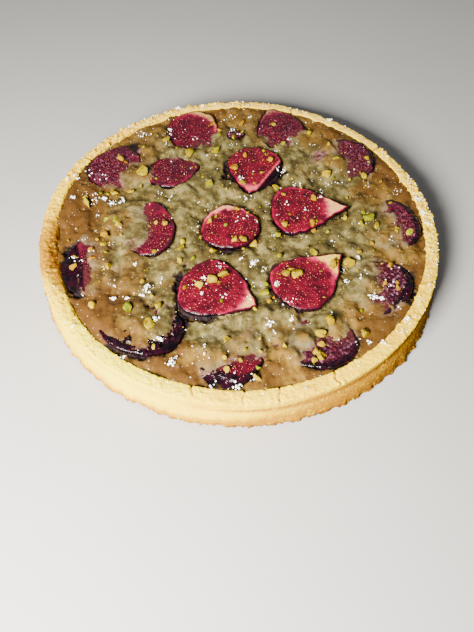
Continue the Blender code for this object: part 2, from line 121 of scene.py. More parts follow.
DARK_GAPS = (  # where the cream has drawn away from a fig, burnt and with painted shade in the gap: x and y in millimetres, and strength
    (-9, 46, 1.5), (-8, 55, 1.1), (28, 50, 1.3), (23, 39, 1), (29, 61, 0.8), (48, -4, 0.5), (57, 0, 0.7),
    (65, 7, 0.6), (71, 13, 0.5), (32, -8, 0.4), (65, -21, 0.6), (60, -32, 0.9), (55, -46, 0.8),
    (32, -64, 0.6), (41, -64, 0.5), (49, -58, 0.7), (-34, -29, 1.6), (-36, -37, 1.5), (-35, -46, 1.2),
    (-26, -66, 1), (-17, -70, 1), (-8, -69, 0.8), (-23, 9, 0.5), (-6, -18, 0.6), (11, -12, 0.7),
    (-104, -7, 1.1), (-101, -20, 1.3), (-99, -33, 1.3), (-93, -46, 1.2), (-87, -53, 0.9), (-74, 77, 0.9),
    (-82, 73, 0.5), (-50, 94, 0.8), (-51, 85, 0.6), (-14, 104, 0.6), (7, 104, 0.8), (46, 95, 1),
    (43, 102, 0.7), (89, 60, 0.9), (90, 66, 0.6), (96, 23, 0.6), (105, 13, 0.7), (110, 0, 0.5),
    (98, -37, 0.9), (99, -47, 1.1), (95, -58, 1), (-64, 38, 0.6), (-24, 59, 0.7), (-2, 29, 0.3),
    (-30, -57, 1), (-13, -27, 0.3), (22, -30, 0.5), (25, 10, 0.4), (-70, -88, 0.7), (-50, -94, 0.6),
    (12, -106, 0.5), (55, -94, 0.5),
)
GAP_SPREAD = 6 * MM
# How far the painted shade round each fig reaches
FIG_SHADE_REACH = 4.2 * MM
DENTS = (  # x, y, width and depth in millimetres
    (-34, 0, 2, 1.6), (-66, -22, 1.8, 1.4), (21, -82, 2.2, 1.8), (67, -66, 2, 1.6), (79, 34, 5, 1.3),
    (-88, 12, 5, 1), (-94, 43, 4, 0.8), (60, -12, 3, 0.8), (-75, -48, 4.5, 1.1), (-26, 22, 2.5, 1.2),
)
BUBBLES = 420

# Fig halves
FIG_DEPTH_SHARE = 0.36
FACE_DOME = 0.0006
FIG_SEGMENTS = 156
FIG_FACE_RINGS = 32
FIG_SKIN_RINGS = 13
OUTLINE_POINTS = 96
EDGE_DROP = 0.7 * MM
SEED_SPACING = 1.8 * MM
SEEDS_HIDDEN_FROM = 0.9  # a fig this purple shows no seeds


@dataclass
class Baking:
    """How a fig has baked. Lengths are in millimetres."""

    purple: float  # 0 is bright crimson, 1 dark purple
    rind: float  # dark skin that shows on the side away from the tart's middle
    thick_side: float  # direction of the thickest flesh
    thick_by: float  # how much thicker the flesh is there and thinner opposite
    yellow: float  # 0 is a pink stem end, 1 a yellow one
    stem: float = 0  # how pale the flesh is at the stem end
    haze: float = 0  # how pale the cream is that has run over it
    gap: float = 0.5  # how dark and deep the cream's edge is round it
    creamed: float = 0  # how much further the cream has run over it
    rind_reach: float = 75  # degrees on each side over which that skin shows
    fold: tuple = ()  # a line, as two places, with the skin folded over the face on its right


# A fig half with its cut face up and its stem end along heading. The five lengths in a row of the table are
# in millimetres, and so are the covers: circles where the cream has run over it, as x, y and radius.
Fig = namedtuple("Fig", "name x y length width face_z heading taper lean covers baking")
FIGS = [Fig(name, *(value * MM for value in lengths), *others) for name, lengths, *others in (
    ("fig_inner_1", (9.2, 50.2, 42, 36, 21.3), -97, 0.7, 2, (),
     Baking(0, 0, -40, 0.8, 0.15, 0.6, gap=0.6, fold=(9.7, 29.2, 28.5, 59.7))),
    ("fig_inner_2", (44.8, 15.5, 50, 39, 21.6), 2, 1.7, 3, (),
     Baking(0, 0, 75, 0.7, 0.3, 1, gap=0.4)),
    ("fig_inner_3", (-5.8, 0.5, 36, 36.5, 21.2), 105, 0.35, 0, (),
     Baking(0.05, 0, 110, 3.2, 0.15, 2.2, gap=0.65)),
    ("fig_inner_4", (42.5, -37.2, 50, 38, 21.4), 41, 1.3, 2, (),
     Baking(0.05, 0, 60, 0.4, 1, 1, gap=0.6)),
    ("fig_inner_5", (-9.8, -49.6, 47, 41, 21.4), -25, 1.2, 2, (),
     Baking(0.05, 0, 110, 1, 0.45, 1, gap=0.6)),
    ("fig_side_1", (-44.5, 49.3, 34, 29, 19.7), 15, 0.4, -3, ((-47, 69, 9), (-67, 46, 10.5)),
     Baking(0.6, 0, 90, -0.8, 0.2, 0.2, 0.5, 0.15)),
    ("fig_side_2", (-54.5, -1.5, 44, 31, 20.2), 91, 0.4, -3, ((-69, -4, 17), (-66, 14, 8.5)),
     Baking(0.5, 0, 0, -0.8, 0.1, 0, 0.6, 0.1)),
    ("fig_outer_1", (-81, 55, 47, 32, 20), 62, 0.9, 9, ((-66, 44, 14.5), (-83, 30, 8), (-61, 70, 8)),
     Baking(0.75, 0.6, 100, 0.6, 0.2, 0, 0.5, 0.35, fold=(-71, 66, -81, 74))),
    ("fig_outer_2", (-32.5, 90, 37, 35, 20.8), 50, 0.3, 11, ((-25, 69, 11), (-13, 81, 8.5)),
     Baking(0.45, 0.4, 60, 4.2, 0.6, 1.5, 0.3, 0.35, 0.5)),
    ("fig_outer_3", (26.8, 93.8, 38, 33, 20.7), 112, 0.5, 11, ((26, 66, 13.5), (43, 81, 9), (12, 80, 8)),
     Baking(0.65, 1, 110, 1.4, 0.1, 1.2, 0.6, 0.4, 1.5)),
    ("fig_outer_4", (69.5, 60.5, 41, 42, 20.5), 46, 0.2, 9, ((57, 52, 17.5), (77, 41, 10.5), (57, 73, 10)),
     Baking(0.8, 2.2, 150, 0.2, 0, 0, 0.9, 0.5, 2)),
    ("fig_outer_5", (93.5, 4.2, 41, 35, 20), 80, 0.4, 10, ((80, 0, 20.5), (93.5, -18, 9.5), (86, 19, 8.5)),
     Baking(0.85, 3.2, 100, 0, 0, 0, 1, 0.5, 0.5)),
    ("fig_outer_6", (81.5, -45, 42, 34, 20.3), -100, 0.5, 9,
     ((68, -45, 16), (75, -30, 8.5), (76, -61, 9.5), (91, -60, 4)),
     Baking(1, 4.5, 150, 0.3, 0, 0, 0.9, 0.7, 0.5)),
    ("fig_outer_7", (44.7, -81.8, 38, 36, 20.6), -140, 0.4, 11,
     ((50, -69, 15), (35, -77, 10), (27, -90, 8.5)),
     Baking(0.9, 3.2, 60, 0, 0, 0, 0.9, 0.4, 1)),
    ("fig_outer_8", (-4.5, -92.8, 37, 36, 20.6), -112, 0.4, 11, ((-15, -88, 12.5), (3, -77, 16)),
     Baking(0.25, 4, 90, 0, 0.1, 0, 1, 0.4, 2, fold=(-18, -101, 12, -112))),
    ("fig_outer_9", (-51, -75, 45, 36, 21.2), 190, 0.4, 10, ((-53, -69, 17.5), (-68, -74, 10.5)),
     Baking(1, 12, 90, 0, 0, 0, 0, 0.8, 3, 170)),
    ("fig_outer_10", (-85.5, -31.2, 44, 33, 20), 102, 0.4, 10,
     ((-74, -26, 13.5), (-77, -43, 12.5), (-87, -9, 8)),
     Baking(0.5, 2, 90, 0.3, 0.2, 0, 0.8, 1, 2, fold=(-98, -14, -89, -45))),
    ("fig_chip", (-3.5, 86.5, 13, 8, 20.5), 5, 0.2, 0, (),
     Baking(1, 1.5, 0, 0, 0)),
)]

# Chopped pistachio, as x, y and size in millimetres and a tone: 0 is green, 0.5 yellow, 1 orange
PISTACHIO = [
    (-63.7, 45.7, 6.8, 0.3), (-34.5, 65.5, 7.2, 0.3), (80, 8, 6.4, 0.15), (65, -25.5, 6, 0.55),
    (50, -70, 6.4, 0.6), (-8, -38, 6.4, 0.5), (-15, -43, 5.8, 0.55), (-22, -46.5, 5.2, 0.45),
    (33.5, -38, 5.8, 0.35), (27, -37, 4.8, 0.35), (-80.7, -8.7, 5.6, 0.8), (-96, 17, 5.2, 0.3),
    (-47, -74, 5.2, 0.3), (-60, -64, 5, 0.1), (14.5, -49, 5.4, 0.2), (29, 79, 4.8, 0.15),
    (57.5, 46.5, 5.2, 0.35), (103.2, -4, 3.6, 0.15), (-17, 70, 5, 0.25), (-80, 27.5, 4.8, 0.45),
    (-45, 0, 5, 0.4), (3, -11, 5, 0.6), (-73, -2, 5, 0.6), (43, -91.4, 5, 0.55), (44.4, 2.7, 4.2, 0.9),
    (-19.2, 36.6, 4.7, 0.2), (23.2, 34.2, 4.8, 0.35), (10.9, -104.5, 3.8, 0.45), (0.6, 97.2, 4.1, 0.9),
    (-1.9, 13.6, 4.1, 0.8), (22.7, 96, 3.7, 0.3), (-94.2, -35.1, 4.1, 0.8), (-51.5, 79.7, 4.5, 0.3),
    (-4.1, 50.3, 4.5, 0.85), (88.2, -29.2, 4.5, 0.85), (20.8, 58.8, 4.1, 0.85), (60, 74.6, 4, 0.6),
    (-34.9, -26.8, 4.2, 0.3), (44.8, -19.1, 4.3, 0.25), (25.2, -84.8, 3.8, 0.35), (47.3, 23.5, 4.7, 0.8),
    (-19.9, 95.6, 3.8, 0.9), (-34.7, -18, 4.3, 0.4), (47.6, 87.2, 4.3, 0.3), (67.7, -76.6, 4.8, 0.5),
    (23.9, -21.8, 4.3, 0.2), (-80.3, 58.2, 3.8, 0.8), (-14.8, -18.9, 4, 0.5), (-79.5, -62.5, 4.4, 0.6),
    (27.5, 2.3, 4.6, 0.8), (-75.1, -33.9, 3.9, 0.5), (-5.6, -81.4, 4.6, 0.45), (80.6, 44.3, 3.9, 0.4),
    (-76, 56, 2.8, 0.9), (-15, 85, 3.6, 0.1), (-5, 83, 3, 0.2), (-15, 90, 3.4, 0.9), (24, 66, 4, 0.35),
    (3, 63, 3, 0.9), (1, 37, 4, 0.4), (28, 27, 2.8, 0.9), (46, -1, 3.4, 0.9), (66, 10, 3.4, 0.4),
    (85, 61, 3.6, 0.7), (64, 60, 3.4, 0.2), (-80, 4, 5, 0), (-76, 2, 3.4, 0.1), (-81, -16, 4.2, 0.55),
    (-87, -20, 3.6, 0.95), (-85, -28, 3.4, 0.95), (-44, -60, 4.2, 0.45), (-55, -43, 3, 0.55),
    (-50, -22, 3.4, 0.5), (-51, 2, 2.8, 0.8), (-34, -13, 3.4, 0.3), (-27, -26, 3.6, 0.1),
    (9, -12, 4.4, 0.45), (-18, 3, 4.4, 0.85), (-2, -12, 3.8, 0.55), (11, 8, 3.2, 0.9), (24, -5, 3.4, 0.2),
    (-30, -48, 2.8, 0.9), (30, -34, 3.8, 0.4), (16, -42, 3.4, 0.15), (10, -60, 3.4, 0.3),
    (45, -77, 5.2, 0.55), (45, -84, 4, 0.55), (41, -88, 3.6, 0.55), (45, -91, 3.4, 0.5),
    (40, -94, 3.2, 0.45), (-7, -93, 3.4, 0.45), (-5, -100, 3.6, 0.4), (4, -88, 2.8, 0.2),
    (2, -94, 2.8, 0.8), (90, -46, 3, 0.95), (84, -42, 2.8, 0.8), (55, -30, 5, 0.6), (57, -27, 3, 0.5),
    (76, 4, 4, 0.3), (84, 2, 3.6, 0.25), (78, 14, 3.2, 0.1), (72, -18, 3.2, 0.7), (-98, 22, 3, 0.4),
    (-70, 30, 3.6, 0.5), (-64, 34, 3, 0.35),
]

# Clumps of sugar, as x, y and size in millimetres
SUGAR = (
    (-80, 18, 6.2), (-51, -46.5, 6), (-33, -95, 5.6), (17, -69, 5.6), (-27, -85, 4.8), (9, -27.5, 4.6),
    (76, -51.4, 4.2), (-106, 21.5, 4.2), (-86, 22, 4.2), (-74, 21, 4.6), *RIM_LUMPS, (-72, 13, 3.4),
    (-106, 38, 3.2), (-62, -55, 2.6), (-54, -52, 2.8), (-69, -56, 3), (-40, -82, 3.4), (-44, -70, 3.4),
    (1, -109, 4.2), (-12, -109, 2.6), (-58, -94, 2.8), (7, 103, 4.2), (-50, 88, 2.6), (80, -53, 2.8),
    (71, -22, 3), (70, -82, 2.6), (77, -83, 3.4), (92, -68, 4.4), (62, 100, 3.4), (-45, 110, 3),
    (-78, 88, 2.8), (2, -24, 3), (7, -31, 3.2), (-19, -41, 3.2), (-20, -52, 3), (22, -44, 2.8),
    (114, 12, 4), (112, 24, 3.2), (62, -40, 3.2), (30, -66, 3), (-60, -30, 3.2),
)
SPECKS = 380  # single grains of sugar
SPECK_CLUSTERS = 110
PISTACHIO_POWDER = 520  # crumbs under a millimetre, most of them near larger pieces
SUGARED_RIM = (  # angle, spread, grains
    (6, 12, 90), (-28, 14, 30), (60, 30, 40), (125, 25, 45), (-120, 40, 30),
)
PISTACHIO_CRUMBS = 110


# Numbers and noise

def metres(rows, lengths):
    """A table's rows, with their first values turned from millimetres to metres."""
    return [(*(value * MM for value in row[:lengths]), *row[lengths:]) for row in rows]


def ramp(low, high, value):
    """0 where the value is below low, 1 where it is above high."""
    share = np.clip((value - low) / (high - low), 0, 1)
    return share * share * (3 - 2 * share)


def hill(distance, width):
    """1 at no distance, falling to nothing over about two widths."""
    return np.exp(-((distance / width) ** 2))


def spot(x, y, middle_x, middle_y, width):
    return hill(np.hypot(x - middle_x, y - middle_y), width)


def turn_from(middle, angle):
    """The turn from a middle in degrees to each angle, both ways round, in radians."""
    return (angle - math.radians(middle) + math.pi) % (2 * math.pi) - math.pi


def bell(angle, middle, spread):
    """1 at the middle, falling to nothing over about two spreads on each side."""
    return hill(turn_from(middle, angle), math.radians(spread))


def grain(points, size, octaves=1, shift=0):
    """Noise from about -1 to 1 at each point, with lumps of about the given size in millimetres."""
    scaled = points / (size * MM) + shift
    if octaves == 1:
        return np.array([noise.noise(point) for point in scaled.tolist()])
    return np.array([noise.fractal(point, 0.8, 2, octaves) for point in scaled.tolist()])


def plan_grain(x, y, size, octaves=1, shift=0):
    return grain(np.stack([x, y, np.zeros_like(x)], axis=1), size, octaves, shift)


def ring_points(radius, angle, z):
    return np.stack([radius * np.cos(angle), radius * np.sin(angle), z], axis=-1)


def ring_noise(angles, frequency, offset):
    """Noise that closes on itself round the tart."""
    places = ring_points(np.full_like(angles, frequency), angles, np.full_like(angles, offset))
    return np.array([noise.noise(place) for place in places.tolist()])


def polygon_distance(points, polygon):
    """Distance in plan from each point to a polygon, negative inside it."""
    ends = np.roll(polygon, -1, axis=0)
    sides = ends - polygon
    offsets = points[:, None, :] - polygon[None]
    share = np.clip((offsets * sides).sum(2) / (sides**2).sum(1), 0, 1)
    distance = np.linalg.norm(offsets - share[..., None] * sides, axis=2).min(axis=1)
    above = polygon[None, :, 1] > points[:, None, 1]
    crossing = above != np.roll(above, -1, axis=1)
    slope = np.where(sides[:, 1] == 0, 1, sides[:, 1])
    cut_x = polygon[:, 0] + (points[:, None, 1] - polygon[:, 1]) * sides[:, 0] / slope
    inside = (crossing & (points[:, None, 0] < cut_x)).sum(axis=1) % 2 == 1
    return np.where(inside, -distance, distance)


# Pieces

def add_object(name, data):
    item = bpy.data.objects.new(name, data)
    bpy.context.scene.collection.objects.link(item)
    return item


def add_piece(name, vertices, faces, attributes, material, slot, node=None, sharp_angle=None):
    """Make a mesh piece that rides on the tart, with one value per vertex for each attribute."""
    mesh = bpy.data.meshes.new(name)
    mesh.from_pydata(np.asarray(vertices).tolist(), [], faces)
    for title, values in attributes.items():
        layer = mesh.attributes.new(title, "FLOAT", "POINT")
        layer.data.foreach_set("value", np.asarray(values, dtype=np.float32))
    mesh.shade_smooth()
    if sharp_angle:
        mesh.set_sharp_from_angle(angle=sharp_angle)
    mesh.materials.append(material)
    piece = add_object(name, mesh)
    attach(piece, "root")
    if node:
        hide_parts(node)


def ring_faces(rings, count):
    """Faces of a closed body of rings of count vertices, then a vertex at the top and one at the bottom."""
    around = [(i, (i + 1) % count) for i in range(count)]
    top = rings * count
    last = top - count
    lows = range(0, last, count)
    faces = [(low + i, low + count + i, low + count + j, low + j) for low in lows for i, j in around]
    for i, j in around:
        faces += [(top, i, j), (top + 1, last + j, last + i)]
    return faces


# Node materials

def operator(operation, swapped=False):
    def combine(self, other):
        return self.surface.math(operation, *((other, self) if swapped else (self, other)))
    return combine


class Value:
    """A number or colour that one node of a material hands to the next."""

    __add__ = __radd__ = operator("ADD")
    __mul__ = __rmul__ = operator("MULTIPLY")
    __sub__ = operator("SUBTRACT")
    __rsub__ = operator("SUBTRACT", swapped=True)
    __pow__ = operator("POWER")

    def __init__(self, surface, socket):
        self.surface = surface
        self.socket = socket

    def ramp(self, low, high):
        inputs = {"Value": self, "From Min": low, "From Max": high}
        return self.surface.node("ShaderNodeMapRange", "Result", inputs, interpolation_type="SMOOTHSTEP")


class Surface:
    """A Principled material, with short ways to wire its nodes and to lay one colour over another."""

    def __init__(self, name, roughness, specular, scatter=0, scatter_reach=(1, 1, 1)):
        self.material = bpy.data.materials.new(name)
        self.material.use_nodes = True
        self.tree = self.material.node_tree
        self.place = self.node("ShaderNodeTexCoord", "Object", {})
        self.colour = None
        self.set_shader({
            "Roughness": roughness, "Specular IOR Level": specular, "Subsurface Weight": scatter,
            "Subsurface Radius": [reach * MM for reach in scatter_reach], "Subsurface Scale": 1,
        })

    def feed(self, node, inputs):
        """Set a node's inputs to numbers, or link them to the values of other nodes."""
        for key, value in inputs.items():
            if isinstance(value, Value):
                self.tree.links.new(value.socket, node.inputs[key])
            else:
                node.inputs[key].default_value = value

    def node(self, kind, output, inputs, **settings):
        node = self.tree.nodes.new(kind)
        for key, value in settings.items():
            setattr(node, key, value)
        self.feed(node, inputs)
        return Value(self, node.outputs[output])

    def attribute(self, title):
        return self.node("ShaderNodeAttribute", "Fac", {}, attribute_name=title)

    def noise(self, size, detail=3, roughness=0.55):
        """Noise from 0 to 1 with lumps of the given size in millimetres."""
        inputs = {"Vector": self.place, "Scale": 1 / (size * MM), "Detail": detail, "Roughness": roughness}
        return self.node("ShaderNodeTexNoise", "Fac", inputs)

    def cells(self, size):
        """Distance from the middles of scattered cells of the given size in millimetres."""
        return self.node("ShaderNodeTexVoronoi", "Distance", {"Vector": self.place, "Scale": 1 / (size * MM)})

    def math(self, operation, first, second):
        return self.node("ShaderNodeMath", "Value", {0: first, 1: second}, operation=operation)

    def mix(self, share, first, second):
        """The first colour where share is 0, the second where it is 1."""
        pair = [colour if isinstance(colour, Value) else (*colour, 1) for colour in (first, second)]
        return self.node("ShaderNodeMix", 2, {0: share, 6: pair[0], 7: pair[1]}, data_type="RGBA")

    def paint(self, colour, share=None):
        """Lay a colour over the ones before it, as thick as share says."""
        self.colour = colour if share is None else self.mix(share, self.colour, colour)

    def finish(self, height, depth):
        """Give the surface its colours and a relief of the given depth in millimetres."""
        normal = self.node("ShaderNodeBump", "Normal", {"Distance": depth * MM, "Height": height})
        self.set_shader({"Base Color": self.colour, "Normal": normal})
        return self.material

    def set_shader(self, inputs):
        self.feed(self.tree.nodes["Principled BSDF"], inputs)


def pastry_material():
    surface = Surface("baked_pastry", 0.9, 0, 0.05, (1.6, 1.2, 0.5))
    noise, paint = surface.noise, surface.paint
    # The toast value also carries the painted shade and painted light laid on the crust
    toast_and_shading_level = surface.attribute("toast_and_shading") + 0.35 * noise(1.6, 4, 0.7)
    gold = surface.mix(noise(16, 4).ramp(0.42, 0.62), (0.72, 0.5, 0), (0.64, 0.39, 0))
    # The buff colour is the pastry's colour for the sides in shade
    shaded_side_buff = surface.mix(toast_and_shading_level.ramp(0.2, 0.9), (0.64, 0.44, 0.17), (0.3, 0.15, 0.04))
    brown, burnt = (0.3, 0.14, 0.006), (0.13, 0.045, 0.004)
    specks, flour = (0.4, 0.2, 0), (0.88, 0.72, 0)
    paint((0.68, 0.56, 0))
    paint(gold, toast_and_shading_level.ramp(-0.45, 0.15))
    paint(brown, toast_and_shading_level.ramp(0.25, 0.85))
    paint(burnt, toast_and_shading_level.ramp(0.85, 1.5))
    paint(specks, 0.5 * noise(0.9, 2, 0.5).ramp(0.6, 0.68))
    paint(flour, 0.35 * noise(2, 3, 0.6).ramp(0.56, 0.68))
    paint(shaded_side_buff, surface.attribute("shaded_side_buff"))
    return surface.finish(noise(1.1, 4, 0.7) + 0.5 * surface.cells(1.6), 0.4)


def cream_material():
    surface = Surface("baked_cream", 0.65, 0.12, 0.03, (1.6, 1, 0.5))
    noise, cells, mix, paint = surface.noise, surface.cells, surface.mix, surface.paint
    fine, mottle, patches = noise(1.2, 2, 0.6), noise(4, 1, 0.5), noise(9, 2, 0.5)
    tone = 0.3 * mottle + 0.55 * patches + 0.15 * fine
    brown = surface.attribute("brown") + 2.4 * (noise(13, 3, 0.6) - 0.5)
    golden = mix(tone.ramp(0.38, 0.6), (0.045, 0.024, 0.005), (0.118, 0.067, 0.013))
    golden = mix(surface.attribute("tan"), golden, (0.22, 0.122, 0.017))
    green, pale_green, deep_brown = (0.086, 0.069, 0.019), (0.158, 0.131, 0.05), (0.06, 0.024, 0.004)
    paint((0.04, 0.03, 0.009))
    paint(green, tone.ramp(0.38, 0.54))
    paint(pale_green, tone.ramp(0.48, 0.62))
    paint(golden, brown.ramp(0.1, 0.9))
    paint(deep_brown, 0.85 * brown.ramp(1, 1.6))

    # Dark dots, and pale dots that are painted glints, in crowds, and the thin cream over the figs
    dark_dot, glint_dot, thin_cream = (0.024, 0.012, 0.005), (0.42, 0.36, 0.22), (0.125, 0.102, 0.06)
    paint(dark_dot, 0.7 * (cells(2.2).ramp(0.34, 0.18) * noise(7, 2, 0.5).ramp(0.46, 0.6)))
    # Painted glints: small pale dots scattered over the cream
    paint(glint_dot, 0.6 * (cells(2.1).ramp(0.24, 0.1) * noise(6, 2, 0.5).ramp(0.44, 0.6)))
    paint(thin_cream, surface.attribute("veil") * tone.ramp(0.38, 0.56))

    # Fig juice, and the burnt edge along each fig with painted shade in its gap and round it
    juice, lilac = (0.055, 0.01, 0.013), (0.26, 0.12, 0.14)
    dark, black = (0.022, 0.013, 0.004), (0.006, 0.002, 0.003)
    bleed = surface.attribute("bleed")
    paint(juice, 0.95 * ((bleed + 2.4 * (noise(2, 3, 0.6) - 0.5)).ramp(0.1, 1.3) * bleed))
    paint(lilac, 0.6 * (noise(2.2, 3, 0.6).ramp(0.48, 0.64) * bleed))
    stain_and_shade = surface.attribute("stain_and_shade") + (fine - 0.5)
    paint(dark, stain_and_shade.ramp(0.1, 0.65))
    paint(black, stain_and_shade.ramp(0.45, 0.9))
    surface.set_shader({"Roughness": 0.8 - 0.25 * patches})
    return surface.finish(0.5 * fine + mottle, 0.2)


def fig_material():
    surface = Surface("cut_fig", 0.4, 0.22, 0.04, (1.2, 0.4, 0.3))
    noise, mix, paint, attribute = surface.noise, surface.mix, surface.paint, surface.attribute
    threads, clouds = noise(1.5, 4, 0.65), noise(6, 2, 0.5)
    pale, purple = attribute("pale"), attribute("purple")

    # Crimson pulp with glints, and a band of flesh that is pale at the stem end
    paint((0.018, 0.0001, 0.003))
    paint((0.105, 0.0003, 0.009), (0.35 * threads + 0.65 * clouds).ramp(0.34, 0.62))
    paint((0.24, 0.01, 0.03), 0.2 * noise(0.8, 2).ramp(0.64, 0.7))
    stem = mix(attribute("yellow"), (0.52, 0.22, 0.13), (0.66, 0.46, 0.05))
    flesh = mix(clouds.ramp(0.4, 0.62), (0.055, 0.0002, 0.008), (0.26, 0.003, 0.034))
    flesh = mix(pale.ramp(0, 0.5), flesh, (0.44, 0.055, 0.075))
    paint(mix(pale.ramp(0.4, 1), flesh, stem), attribute("flesh"))

    # Purple where the fig has baked dark, with painted lilac highlights, then smeared cream and the skin
    aubergine, plum = (0.026, 0.001, 0.005), (0.012, 0.001, 0.006)
    lilac_highlight, smear = (0.21, 0.075, 0.13), (0.05, 0.009, 0.011)
    paint(aubergine, 0.8 * purple)
    paint(plum, 0.9 * (noise(3).ramp(0.36, 0.58) * purple))
    # Painted lilac highlights on the lumps of the darkest figs
    paint(lilac_highlight, 0.8 * (noise(1.8).ramp(0.5, 0.66) * purple**4))
    paint(smear, 0.8 * (attribute("smear") + 2.2 * (threads - 0.5)).ramp(0.4, 1))
    skin = attribute("skin")
    paint(mix(noise(4, 4).ramp(0.4, 0.62), (0.002, 0.001, 0.002), (0.012, 0.001, 0.005)), skin)
    surface.set_shader({"Roughness": (0.28 + 0.34 * noise(2.5)) * (1 - 0.6 * skin)})
    return surface.finish(threads + 0.5 * surface.cells(1.5), 0.25)


def seed_material():
    surface = Surface("fig_seed", 0.35, 0.5, 0.1, (0.6, 0.3, 0.2))
    surface.paint((0.15, 0.002, 0.012))
    surface.paint((0.46, 0.12, 0.08), surface.attribute("tone"))
    return surface.finish(surface.noise(0.4, 2), 0.05)


def pistachio_material():
    surface = Surface("chopped_pistachio", 0.6, 0.03, 0.03, (1, 0.8, 0.3))
    noise, paint, tone = surface.noise, surface.paint, surface.attribute("tone")
    yellow, orange = (0.245, 0.165, 0), (0.24, 0.1, 0)
    cut, skin = (0.38, 0.3, 0.01), (0.055, 0.022, 0.001)
    paint((0.095, 0.135, 0))
    paint(yellow, tone.ramp(0, 0.45))
    paint(orange, tone.ramp(0.5, 1))
    paint(cut, 0.55 * noise(2.4).ramp(0.5, 0.64))
    paint(skin, 0.65 * noise(2.6, 2, 0.5).ramp(0.56, 0.64))
    return surface.finish(noise(0.8, 3, 0.7), 0.2)


def sugar_material():
    surface = Surface("sugar", 0.3, 0.6)
    surface.paint((0.93, 0.92, 0.88))
    surface.paint((0.97, 0.97, 0.96), surface.noise(1))
    return surface.finish(surface.noise(0.35, 3, 0.7), 0.05)


# Pastry case

def case_outer_radius(angles):
    return CASE_RADIUS + 0.5 * MM * ring_noise(angles, 1.3, 7)


def case_height(angles):
    return CASE_HEIGHT + 0.5 * MM * ring_noise(angles, 1.5, 0)


def rim_width(angles):
    return RIM_WIDTH - RIM_WIDTH_CHANGE * np.sin(angles)


def inner_wall(angles):
    """(radius, z) up the inner wall, from the floor to the inner edge of the rim."""
    slump = bell(angles, SLUMP_ANGLE, SLUMP_SPREAD)
    edge = case_outer_radius(angles) - rim_width(angles)
    height = case_height(angles)
    floor = np.full_like(angles, FLOOR_THICKNESS)
    return [
        (edge - 3.2 * MM - slump * SLUMP_REACH, floor),
        (edge - 0.8 * MM - slump * SLUMP_REACH, floor + 3 * MM),
        (edge - 0.75 * slump * SLUMP_REACH, height - 3 * MM - slump * SLUMP_DROP),
        (edge + 0.4 * MM - 0.35 * slump * SLUMP_REACH, height - 0.5 * MM - 0.4 * slump * SLUMP_DROP),
    ]


def outer_wall(angles):
    """(radius, z) from the middle of the rim, over its outer edge and down to the foot."""
    slump = bell(angles, SLUMP_ANGLE, SLUMP_SPREAD)
    spread = FOOT_SPREAD * bell(angles, FOOT_SPREAD_ANGLE, FOOT_SPREAD_REACH)
    out = case_outer_radius(angles)
    height = case_height(angles)
    crumb = 0.5 * MM * ring_noise(angles, 17, 2)
    ragged = FOOT_REACH * np.abs(ring_noise(angles, 14, 5)) ** 0.7
    zero = np.zeros_like(angles)
    return [
        (out - 0.5 * rim_width(angles), height + 0.5 * crumb - 0.1 * slump * SLUMP_DROP),
        (out - 0.4 * MM + 0.4 * crumb, height - 0.2 * MM + crumb - 1.2 * MM * slump),
        (out + 0.3 * crumb, height - 1.6 * MM - 1.6 * MM * slump),
        (out - 0.4 * MM, 0.66 * height),
        (out + 0.9 * MM + 0.4 * spread, 0.44 * height),
        (out + 1.7 * MM + spread + ragged, zero + 1.2 * MM),
        (out + 1 * MM + spread, zero),
    ]


def crumbliness(angles):
    """How rough the rim is at each angle, from about 0.5 to 1.6."""
    rough = np.full_like(angles, PLAIN_RIM)
    for middle, spread, strength in CRUMBLY_PLACES:
        rough += strength * bell(angles, middle, spread)
    return rough


def spline_rings(walls, steps):
    """Rings of a smooth profile through the wall's points, with the given steps on each stretch."""
    padded = [walls[0], *walls, walls[-1]]
    rings = []
    for k, count in enumerate(steps):
        before, start, end, after = (np.stack(padded[k + i]) for i in range(4))
        leave = 0.35 * (end - before)
        arrive = 0.35 * (after - start)
        for t in np.arange(count) / count:
            near_start = (2 * t**3 - 3 * t**2 + 1) * start + (t**3 - 2 * t**2 + t) * leave
            rings.append(near_start + (3 * t**2 - 2 * t**3) * end + (t**3 - t**2) * arrive)
    rings.append(np.stack(walls[-1]))
    return np.array(rings)


